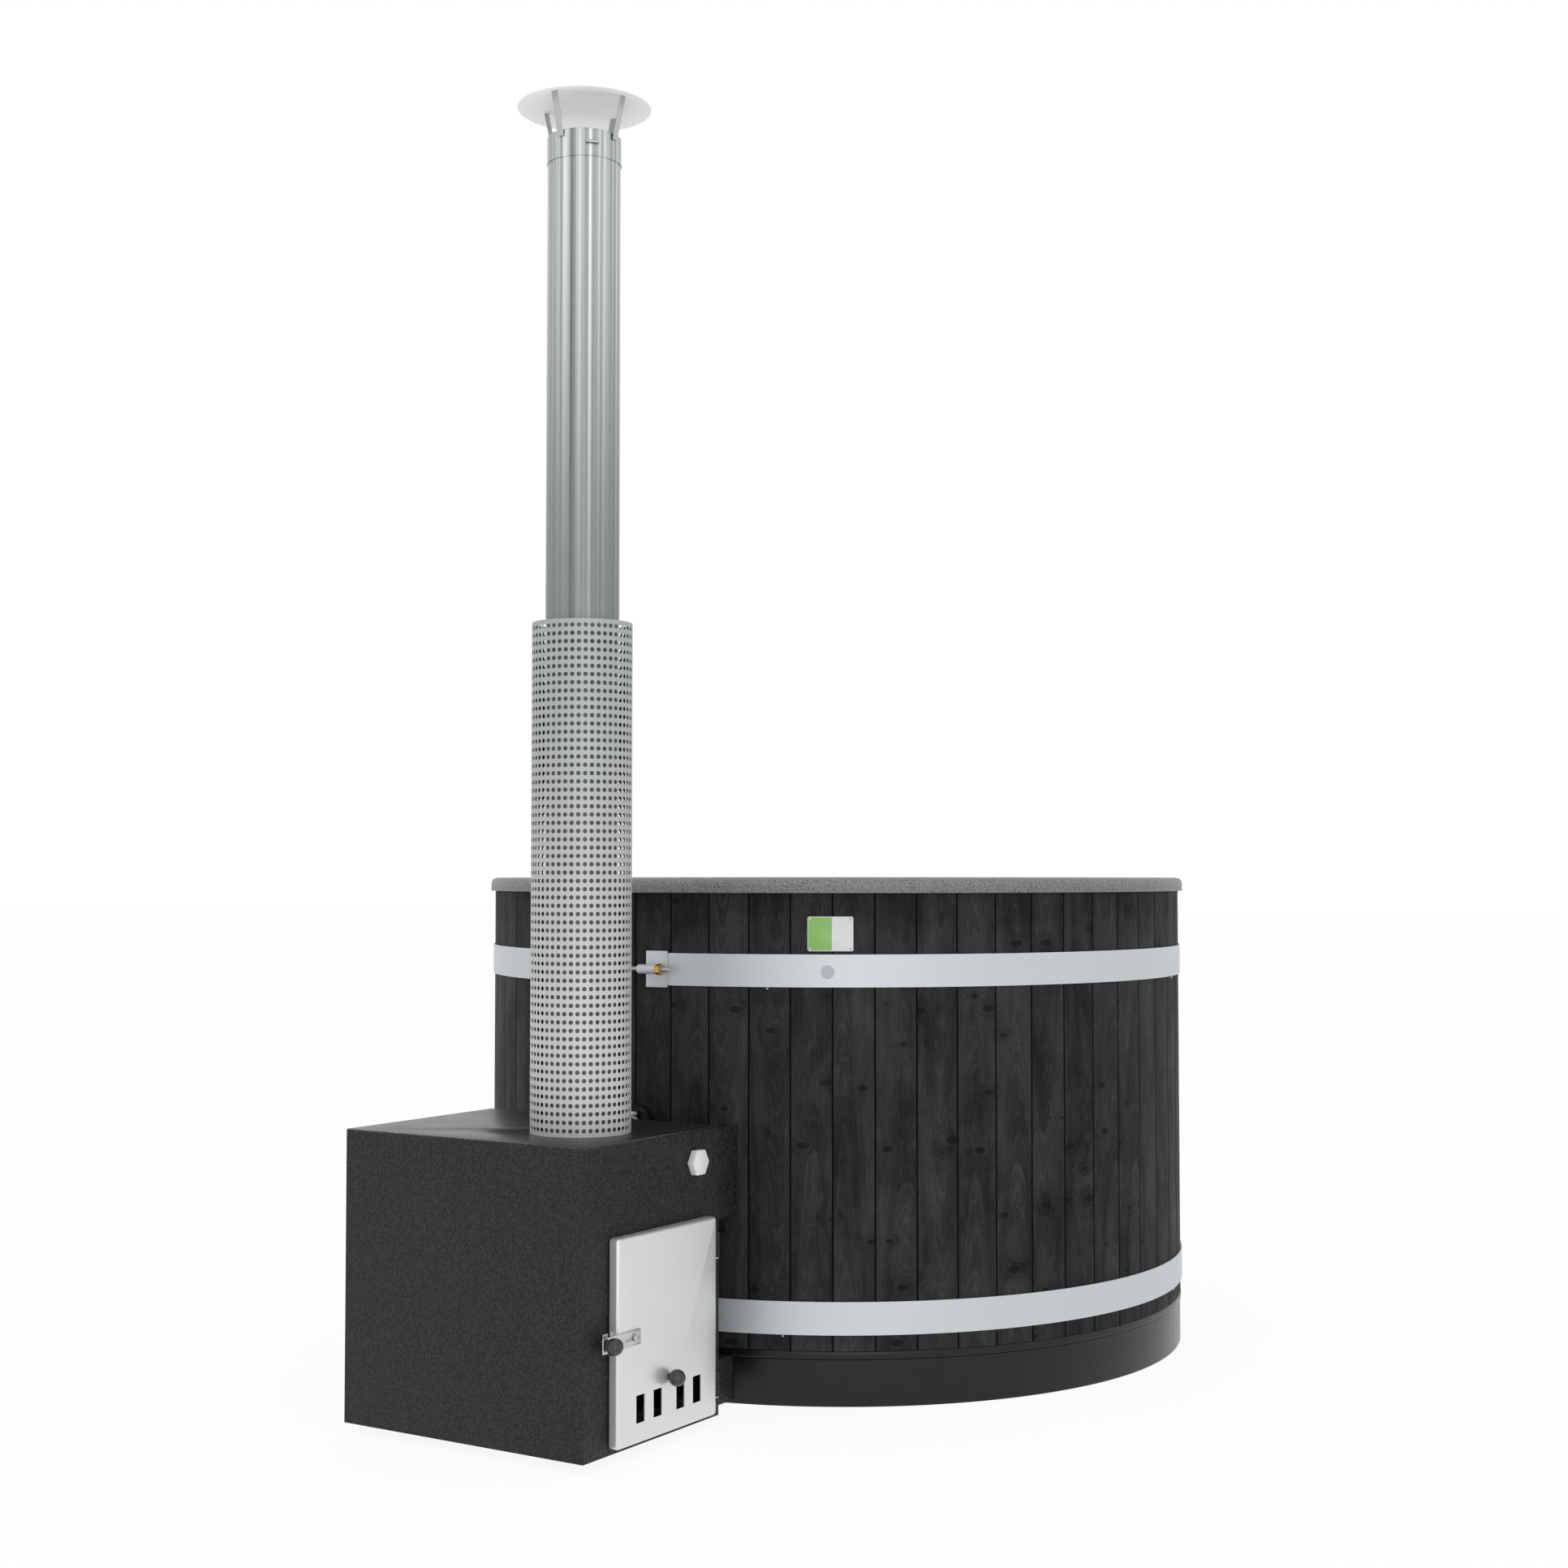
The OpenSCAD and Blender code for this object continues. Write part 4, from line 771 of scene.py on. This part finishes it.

# %% [markdown]
# ## The heat guard
# A perforated sheet keeps hands off the hot lower flue. Holes painted on with transparency
# would look flat from the side. Real perforated sheet is punched flat and then rolled, and
# the tree does the same: one square cell with a round hole is filled, laid out in rows and
# columns, given its thickness, and wrapped round the axis. Its inside is darker than its outside.

# %% The guard's sizes and finish
guard_low, guard_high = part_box("heat_guard")
guard_inset = 0.2 * mm
guard_radius = (guard_high.x - guard_low.x) / 2 - guard_inset
guard_columns = 48
guard_rows = 62
guard_hole = 4.6 * mm
guard_sheet = 1.5 * mm
guard_margin = 4.7 * mm
guard_inside = (0.10, 0.104, 0.104)
guard_dull = (0.35, 0.37, 0.37)
guard_clean = (0.60, 0.61, 0.60)
guard = Finish("guard_metal", (0.42, 0.44, 0.44), Roughness=0.55, Metallic=0.35)
point = guard.object_point()
x, y, z = point.parts()
away = ((x - flue_axis.x) ** 2.0 + (y - flue_axis.y) ** 2.0).math("SQRT")
outside = away.step(guard_radius - guard_sheet * 0.9, guard_radius - guard_sheet * 0.4)
grain = guard.noise(point, 420.0, 2.0, 0.6)
clean = 1 - z.step(guard_low.z, guard_high.z)
sheet = guard.mix(clean * 0.6 + grain * 0.4, guard_dull, guard_clean)
guard.put("Base Color", guard.mix(outside, guard_inside, sheet))
guard.put("Roughness", 0.7 - outside * 0.2 + grain * 0.1)


# %% Punch and roll the guard
def heat_guard():
    height = guard_high.z - guard_low.z
    width = 2 * math.pi / guard_columns * guard_radius
    pitch = (height - 2 * guard_margin) / guard_rows
    pattern = Pattern("heat_guard", Columns=guard_columns, Rows=guard_rows, Hole=guard_hole,
                      Sheet=guard_sheet, Radius=guard_radius, Width=width, Pitch=pitch)
    node, size = pattern.node, pattern.size
    columns, rows = size("Columns"), size("Rows")
    cell_width, cell_pitch = size("Width"), size("Pitch")
    frame_line = node("CurvePrimitiveQuadrilateral", {"Width": cell_width, "Height": cell_pitch})
    hole_line = node("CurvePrimitiveCircle", {"Resolution": 14, "Radius": size("Hole")})
    cell = node("FillCurve", {0: pattern.join(frame_line, hole_line)})
    spots = {"Vertices X": columns, "Vertices Y": rows, "Size X": cell_width * (columns - 1),
             "Size Y": cell_pitch * (rows - 1)}
    cells = {"Points": node("MeshGrid", spots), "Instance": cell}
    sheet = node("RealizeInstances", {0: node("InstanceOnPoints", cells)})
    strip = {"Vertices X": columns + 1, "Vertices Y": 2, "Size X": cell_width * columns,
             "Size Y": guard_margin}
    edge = node("MeshGrid", strip)
    shift = cell_pitch * rows * 0.5 + guard_margin / 2
    upper = node("Transform", {0: edge, "Translation": pattern.point(y=shift)})
    lower = node("Transform", {0: edge, "Translation": pattern.point(y=shift * -1.0)})
    flat = pattern.weld(pattern.join(sheet, upper, lower))
    up = {0: flat, "Offset": pattern.point(z=1.0), "Offset Scale": size("Sheet"), "Individual": False}
    thick = pattern.weld(pattern.join(node("ExtrudeMesh", up), node("FlipFaces", {0: flat})))
    x, y, z = node("InputPosition").parts()
    angle = x / size("Radius")
    radius = size("Radius") - size("Sheet") + z
    around = pattern.point(angle.math("COSINE") * radius + flue_axis.x,
                           angle.math("SINE") * radius + flue_axis.y,
                           y + (guard_low.z + guard_high.z) / 2)
    rolled = node("SetPosition", {0: thick, "Position": around})
    return pattern.mesh(pattern.weld(rolled), "guard_metal")


piece("heat_guard_sheet", crisp(heat_guard(), 30), None, nodes=("heat_guard",))
print(guard_columns * guard_rows, "holes in the guard")

# %% [markdown]
# ## The liner and the skirt
# Both are round all the way, so their outlines are drawn once and turned. The liner's outline
# runs up the wall from the bench, over the rolled rim and back along its underside. The bench
# and the foot well, which carry the pipes, keep their measured shapes.

# %% Turn the liner
liner_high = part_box("liner")[1]
bench_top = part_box("bench")[1].z
liner_wall = 6 * mm
rim_lip = 32 * mm
rim_round = 15 * mm
basin_top = tub_radius - 74 * mm
basin_draft = 14 * mm
basin_fillet = 15 * mm


def basin(sunk):
    """The outline from the bench to the rim's lip, sunk under the surface."""
    fillet, edge = basin_fillet + sunk, rim_round - sunk
    low = basin_top - basin_draft - basin_fillet
    round_height = liner_high.z - rim_round
    points = arc(low, bench_top + basin_fillet, fillet, -90, 0, 12)
    points += arc(basin_top + rim_round, round_height, edge, 180, 90, 10)
    points += arc(liner_high.x - rim_round, round_height, edge, 90, 0, 10)
    return points + [(liner_high.x - sunk, liner_high.z - rim_lip)]


liner = turned(basin(0) + list(reversed(basin(liner_wall))), count=240)
piece("liner_shell", liner, "speckled_liner", nodes=("liner",))
for node in ("bench", "foot_well"):
    piece(node, crisp(merged(node)), "speckled_liner", nodes=(node,))

# %% Turn the skirt with its lip
skirt_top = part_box("base_skirt")[1].z
skirt_radius = tub_radius - 2 * mm
skirt_inside = skirt_radius - 6 * mm
lip_height = 101 * mm
lip_round = 3 * mm
lip_inside = tub_radius - stave_thick
lip_middle = tub_radius - lip_round
skirt_outline = [(skirt_inside, 0)]
skirt_outline += arc(skirt_radius - lip_round, lip_round, lip_round, -90, 0, 4)
skirt_outline += [(skirt_radius, lip_height - 1 * mm)]
skirt_outline += arc(lip_middle, lip_height + lip_round, lip_round, -90, 0, 4)
skirt_outline += arc(lip_middle, skirt_top - lip_round, lip_round, 0, 90, 4)
skirt_outline += [(lip_inside, skirt_top), (lip_inside, lip_height), (skirt_inside, lip_height)]
piece("skirt_ring", turned(skirt_outline, count=240), "black_plastic", nodes=("base_skirt",))
print("rim", round(liner_high.x * 2, 3), "m across")

# %% [markdown]
# ## The flue and its cap
# The flue's upper length, the collar and the rain cap are round sheet metal, so they are
# turned, with the sheet's thickness in the outline. The edges of real sheet are folded back
# into small beads, which catch a bright line of light, so the collar has one.

# %% Turn the flue, the collar and the cap
flue_radius = 75.5 * mm
flue_wall = 1.5 * mm
swage_length = 60 * mm
pipe_seat = 0.3 * mm
joint_height = flue_low.z + swage_length
axis_foot = (flue_axis.x, flue_axis.y, 0)
inner = flue_radius - flue_wall
swage = inner - pipe_seat
flue = [(inner, joint_height + flue_wall), (inner, flue_top), (flue_radius, flue_top),
        (flue_radius, joint_height), (swage, joint_height), (swage, flue_low.z),
        (swage - flue_wall, flue_low.z), (swage - flue_wall, joint_height + flue_wall)]
piece("flue_upper_pipe", turned(flue, axis_foot, count=192), "polished_steel", nodes=("flue_upper",))

collar_low, collar_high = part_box("cap_collar")
collar_radius = (collar_high.x - collar_low.x) / 2
collar_inside = collar_radius - 1.8 * mm
bead = 0.9 * mm
collar = [(collar_inside, collar_low.z), (collar_radius - 0.4 * mm, collar_low.z)]
collar += arc(collar_radius - bead, collar_low.z + 2 * bead, bead, -60, 90, 5)
collar += [(collar_radius - bead, collar_high.z - 1 * mm), (collar_inside, collar_high.z)]
piece("collar_ring", turned(collar, axis_foot, count=192), "polished_steel", nodes=("cap_collar",))

cap_low, cap_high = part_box("rain_cap")
cap_radius = (cap_high.x - cap_low.x) / 2
cap_sheet = 1 * mm
cap_steps = 10
cap_rise = cap_high.z - cap_low.z - cap_sheet
half = cap_sheet / 2
shares = [i / cap_steps for i in range(cap_steps)]
under = [(cap_radius * share, cap_low.z + cap_rise * (1 - share)) for share in shares]
over = [(r, z + cap_sheet) for r, z in reversed(under)]
brim = arc(cap_radius - half, cap_low.z + half, half, -90, 90, 4)
cone = turned(under + brim + over, axis_foot, closed=False)
piece("rain_cap_cone", cone, "cap_metal", nodes=("rain_cap",))

# %% [markdown]
# ## The fire door
# The door is a folded sheet: its face turns back on all four sides with a soft bend, and the
# bends show as bright lines. The face is filled between its outline and the cut-outs, the
# bends are rings of that outline set in and forward, and Solidify gives the sheet its wall.

# %% Fold the door from sheet
door_low, door_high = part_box("door_shell")
door_corner = 8 * mm
door_bend = 7 * mm
door_sheet = 2 * mm
door_middle = (door_low.y + door_high.y) / 2
fold_steps = 6
slot_width = 27.6 * mm
slot_height = 54 * mm
slot_floor = door_low.z + 40 * mm
slot_places = [y * mm for y in (-97, -39, 39, 97)]
stud_height = door_low.z + 110 * mm
stud_half = 5 * mm
stud_travel = 29 * mm
pivot_place = (door_low.y + 50.6 * mm, door_low.z + 209 * mm)
pivot_radius = 4 * mm


def door_ring(inset):
    """The door's outline, seen from the front, set in on all sides."""
    return round_box_line(door_low.y + inset, door_high.y - inset, door_low.z + inset,
                          door_high.z - inset, door_corner - inset)


def door_skin():
    angles = [math.radians(90 * i / fold_steps) for i in range(fold_steps + 1)]
    folds = [(0, door_low.x)]
    folds += [(door_bend * (1 - math.cos(a)), door_high.x - door_bend * (1 - math.sin(a))) for a in angles]
    shape = bmesh.new()
    rings = [[shape.verts.new((x, y, z)) for y, z in door_ring(inset)] for inset, x in folds]
    walls(shape, rings)
    half = slot_width / 2
    lines = [box_line(door_middle + y - half, door_middle + y + half, slot_floor, slot_floor + slot_height)
             for y in slot_places]
    lines.append(box_line(door_middle - stud_half, door_middle + stud_half + stud_travel,
                          stud_height - stud_half, stud_height + stud_half))
    lines.append(arc(*pivot_place, pivot_radius, 0, 345, 23))
    edges = [e for e in shape.edges if all(v in rings[-1] for v in e.verts)]
    for line in lines:
        points = [shape.verts.new((door_high.x, y, z)) for y, z in line]
        edges += [shape.edges.new((points[i - 1], points[i])) for i in range(len(points))]
    bmesh.ops.triangle_fill(shape, edges=edges, use_beauty=True, normal=(1, 0, 0))
    bmesh.ops.recalc_face_normals(shape, faces=shape.faces)
    return modified(as_mesh(shape, "door"), "SOLIDIFY", thickness=door_sheet, offset=-1, use_even_offset=True)


piece("door_front", crisp(door_skin(), 40), "door_steel", "door", ("door_shell",))

# %% [markdown]
# ## Ball knobs
# A ball knob is turned from black plastic: a ball with a short neck that meets the sheet, on
# a steel stud. A plain sphere would have no neck, so the knob is turned here as well.

# %% Turn the knobs
along_x = Matrix.Rotation(math.pi / 2, 3, "Y")
ball_radius = 17 * mm
neck_radius = 7.5 * mm
stud_radius = 4 * mm
stud_sunk = 2 * mm


def knob(name, node, body):
    low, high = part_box(node)
    base = high.x - 2 * ball_radius
    waist = -90 + math.degrees(math.asin(neck_radius / ball_radius))
    outline = [(0, base), (neck_radius, base)] + arc(0, high.x - ball_radius, ball_radius, waist, 90, 20)
    place = (0, (low.y + high.y) / 2, (low.z + high.z) / 2)
    stud = box_line(0, stud_radius, low.x, base + stud_sunk)
    ball = turned(outline, place, along_x, count=48, closed=False)
    piece(name + "_stud", turned(stud, place, along_x, 32, False), "zinc_steel", body)
    piece(name, ball, "knob_black", body, (node,))


knob("latch_ball", "latch_knob", "latch")
knob("damper_ball", "damper_knob", "damper")

# %% [markdown]
# ## Sheet metal with softened edges
# The heater's casing, its plates, brackets and levers have the right shape, so they aren't
# built again: each is a copy of its measured solid. A bevel on every sharp edge gives the
# thin line of light that tells the eye where the sheet is bent.

# %% A worn edge with painted highlights for the top plate
bright_spots_a_metre = 240.0
edge = Finish("worn_and_highlit_edge", (0.02, 0.02, 0.02), Roughness=0.4)
# bright metal spots on the rounded edge: partly paint worn through, partly painted highlight
wear_and_highlight = edge.noise(edge.object_point(), bright_spots_a_metre, 3.0, 0.7).step(0.55, 0.64)
edge.put("Base Color", edge.mix(wear_and_highlight, (0.012, 0.013, 0.014), (0.42, 0.44, 0.45)))
edge.put("Metallic", wear_and_highlight * 0.8)

# %% Round the edges, by so many millimetres
rounded("heater_top", 0.7, "top_black", edge_finish="worn_and_highlit_edge")
rounded("casing", 1.6, "textured_black", segments=3)
rounded("upper_shroud", 0.6, "textured_black")
rounded("lower_shroud", 0.6, "textured_black")
rounded("heater_plug", 1.4, "pale_steel")
rounded("latch_lever", 0.7, "steel", "latch")
rounded("latch_keeper", 0.6, "steel")
rounded("latch_pivot", 0.5, "zinc_steel", "door")
rounded("hinge_brackets", 0.8, "textured_black")
rounded("door_knuckles", 0.8, "textured_black", "door")
rounded("band_lugs", 0.9, "band_metal")
rounded("tension_nuts", 0.8, "brass")
rounded("hose_clamps", 0.5, "clamp_chrome")
rounded("cap_straps", 0.4, "zinc_steel")
rounded("heater_feet", 1.0, "top_black")

# %% Finishes for the pieces that keep their measured mesh
kept = {
    "band_metal": "upper_band lower_band",
    "zinc_steel": "hinge_pins guard_brackets collar_bolt damper_guides",
    "black_plastic": "inlet_fitting inlet_nut outlet_pipe drain_pipe base_board",
    "soot": "damper_plate door_inner firebox front_plate baffle grate_rests",
    "hose_rubber": "hoses drain_plug door_gasket",
    "clamp_chrome": "clamp_screws",
    "tank_metal": "water_tank",
    "cast_iron": "grate",
    "dull_steel": "flue_lower",
    "steel": "inlet_strainer outlet_strainer",
    "raw_wood": "floor_joists floor_board bench_props",
    "wool": "door_insulation",
}
coated("wool", (0.5, 0.48, 0.42), 300, 1.0 * mm, rough=0.9, gloss=0.1)
coated("raw_wood", (0.5, 0.34, 0.18), 60, 0.3 * mm, rough=0.7, gloss=0.2)
for finish_name, names in kept.items():
    for node in names.split():
        slots = frame["nodes"][node].data.materials
        slots.clear()
        slots.append(finishes[finish_name])

# %% [markdown]
# ## The tension rods
# The rod that pulls a band tight is threaded from end to end. Bump alone would leave its
# outline smooth, so a small profile swept along a spiral makes the ridge on a plain core.

# %% Cut the threads
rod_low, rod_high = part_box("tension_rods")
rod_radius = 5.5 * mm
rod_length = 304 * mm
rod_turn = math.radians(-3)
thread_pitch = 2.0 * mm
thread_depth = 0.8 * mm


def threaded_rod():
    pattern = Pattern("rod_thread", Length=rod_length, Radius=rod_radius, Pitch=thread_pitch,
                      Depth=thread_depth)
    node, size = pattern.node, pattern.size
    length = size("Length")
    core_radius = size("Radius") - size("Depth")
    spiral = {"Resolution": 14, "Rotations": length / size("Pitch"), "Start Radius": core_radius,
              "End Radius": core_radius, "Height": length}
    line = node("CurveSpiral", spiral)
    ridge = node("CurvePrimitiveCircle", {"Resolution": 4, "Radius": size("Depth")})
    thread = node("CurveToMesh", {"Curve": line, "Profile Curve": ridge, "Fill Caps": True})
    core = node("MeshCylinder", {"Vertices": 24, "Radius": core_radius, "Depth": length})
    core = node("Transform", {0: core, "Translation": pattern.point(z=length * 0.5)})
    return pattern.mesh(pattern.join(thread, core), "zinc_steel")


rod = threaded_rod()
lie_down = Matrix.Rotation(rod_turn, 4, "Z") @ Matrix.Rotation(math.pi / 2, 4, "Y")
rod_places = [Vector(((rod_low.x + rod_high.x) / 2, (rod_low.y + rod_high.y) / 2, z))
              for z in (rod_low.z + rod_radius, rod_high.z - rod_radius)]
back = Matrix.Translation((0, 0, -rod_length / 2))
rods = joined("rods", [(rod, Matrix.Translation(place) @ lie_down @ back) for place in rod_places])
piece("threaded_rods", crisp(rods, 50), "zinc_steel", nodes=("tension_rods",))
print("two rods with", round(rod_length / thread_pitch), "turns of thread")

# %% [markdown]
# ## What is fixed to the boards
# Domed nails stop each band from sliding down. A bare plate with a green field hangs on four
# small screws, and a bare round film is stuck to the upper band. They could be scattered by
# a tree, but they are few, so each is placed by its own angle round the tub and its height.

# %% Drive the nails
def on_wall(turn, radius, height, aside=0.0):
    """A place on the wall, by its angle from -Y towards +X, where +Z points outwards."""
    out = Vector((math.sin(turn), -math.cos(turn), 0))
    along = Vector((math.cos(turn), math.sin(turn), 0))
    place = out * radius + along * aside
    axes = Matrix((along, (0, 0, 1), out)).transposed()
    return Matrix.Translation((place.x, place.y, height)) @ axes.to_4x4()


nail_low, nail_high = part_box("band_nails")
nail_radius = 3 * mm
nail_head = 2.5 * mm
nail_seat = 0.3 * mm
nails_high = [3.45, 16.49, 29.5, 42.5]
nails_low = [3.82, 16.47, 29.5, 42.5]


def dome(radius, height, recess=0.0):
    """A domed head, with an optional small recess in its middle."""
    bulge = (radius ** 2 + height ** 2) / (2 * height)
    steps = [radius * i / 6 for i in range(7)]
    line = [(r, height - bulge + math.sqrt(bulge ** 2 - r ** 2)) for r in steps]
    if recess:
        line = [(0, height - recess), (recess, height - recess)] + line[2:]
    return turned([(0, 0), (radius, 0)] + list(reversed(line))[1:], count=24, closed=False, degrees=60)


def nail_spot(place, height):
    """The place is counted in staves, so 3.5 is the middle of the fourth."""
    stave = math.floor(place) + 0.5
    return on_wall(stave * stave_turn, stave_face + nail_seat, height, (place - stave) * stave_cover)


nail = dome(nail_radius, nail_head)
spots = [nail_spot(place, nail_high.z - nail_radius) for place in nails_high]
spots += [nail_spot(place, nail_low.z + nail_radius) for place in nails_low]
nails = joined("nails", [(nail, spot) for spot in spots])
piece("nail_heads", nails, "zinc_steel", nodes=("band_nails",))

# %% Hang the plate and stick the film
plate_turn = math.radians(30.2)
width, tall = 99.5 * mm, 75 * mm
plate_height = 1014.5 * mm
plate_sheet = 1.5 * mm
plate_corner = 4 * mm
plate_bevel = 0.3 * mm
plate_border = 1.5 * mm
print_blur = 0.4 * mm
green_share = 0.53
screw_inset = 5 * mm
plate_white = (0.66, 0.68, 0.67)
plate_green = (0.235, 0.46, 0.115)
fields = Finish("plate_print", (0.6, 0.6, 0.6), Roughness=0.35)
along = (math.cos(plate_turn), math.sin(plate_turn), 0)
place = fields.node("TexCoord", out="Object")
across = fields.node("VectorMath", {0: place, 1: along}, out=1, operation="DOT_PRODUCT") + width / 2
above = (place.parts()[2] - plate_height).math("ABSOLUTE")
left = across.step(plate_border, plate_border + print_blur)
right = 1 - across.step(width * green_share, width * green_share + 0.6 * mm)
inside = 1 - above.step(tall / 2 - plate_border - print_blur, tall / 2 - plate_border)
fields.put("Base Color", fields.mix(left * right * inside, plate_white, plate_green))


def plate():
    x, y = width / 2, tall / 2
    levels = ((0, 0), (0, plate_sheet - plate_bevel), (plate_bevel, plate_sheet))
    outlines = [[(a, b, height) for a, b in
                 round_box_line(inset - x, x - inset, inset - y, y - inset, plate_corner - inset)]
                for inset, height in levels]
    mesh = closed_shell("plate", outlines)
    mesh.transform(on_wall(plate_turn, tub_radius, plate_height))
    return mesh


piece("wall_plate", crisp(plate(), 50), "plate_print")
screw = dome(3.3 * mm, 1.3 * mm, 0.9 * mm)
screw_aside, screw_above = width / 2 - screw_inset, tall / 2 - screw_inset
screw_spots = [on_wall(plate_turn, tub_radius + plate_sheet, plate_height + b, a)
               for a in (-screw_aside, screw_aside) for b in (-screw_above, screw_above)]
piece("plate_screws", joined("screws", [(screw, spot) for spot in screw_spots]), "zinc_steel")

film_turn = math.radians(29.8)
film_height = 932 * mm
film_radius = 15 * mm
film_sheet = 0.25 * mm
film_seat = 0.05 * mm
film_bevel = 0.1 * mm
band_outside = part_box("upper_band")[1].x
brushed("film", (0.43, 0.45, 0.47), 0.4, 500, lines=0.1, clouds=0.1, metallic=0.0, relief=0)
film_outline = [(0, 0), (film_radius, 0), (film_radius - film_bevel, film_sheet), (0, film_sheet)]
film = turned(film_outline, count=64, closed=False)
film.transform(on_wall(film_turn, band_outside - film_seat, film_height))
piece("round_film", film, "film")
print(len(spots), "nails,", len(screw_spots), "screws")

# %% [markdown]
# ## The flue's lock seam
# A rolled pipe is closed by a seam that is folded flat. A line in the finish could show it,
# but a real seam is a little proud of the sheet, so it is a thin strip of its own.

# %% Fold the lock seam
seam_turn = math.radians(43)
seam_half = 1.5 * mm
seam_top = seam_half * 0.8
seam_height = 0.6 * mm
seam_sunk = 0.5 * mm
section = [(-seam_half, -seam_sunk), (seam_half, -seam_sunk), (seam_half, 0),
           (seam_top, seam_height), (-seam_top, seam_height), (-seam_half, 0)]
ends = (joint_height + 2 * mm, collar_low.z)
seam = closed_shell("seam", [[(a, z, out) for a, out in section] for z in ends])
seam.transform(Matrix.Translation(axis_foot) @ on_wall(seam_turn, flue_radius, 0))
piece("flue_seam", crisp(seam, 30), "polished_steel")
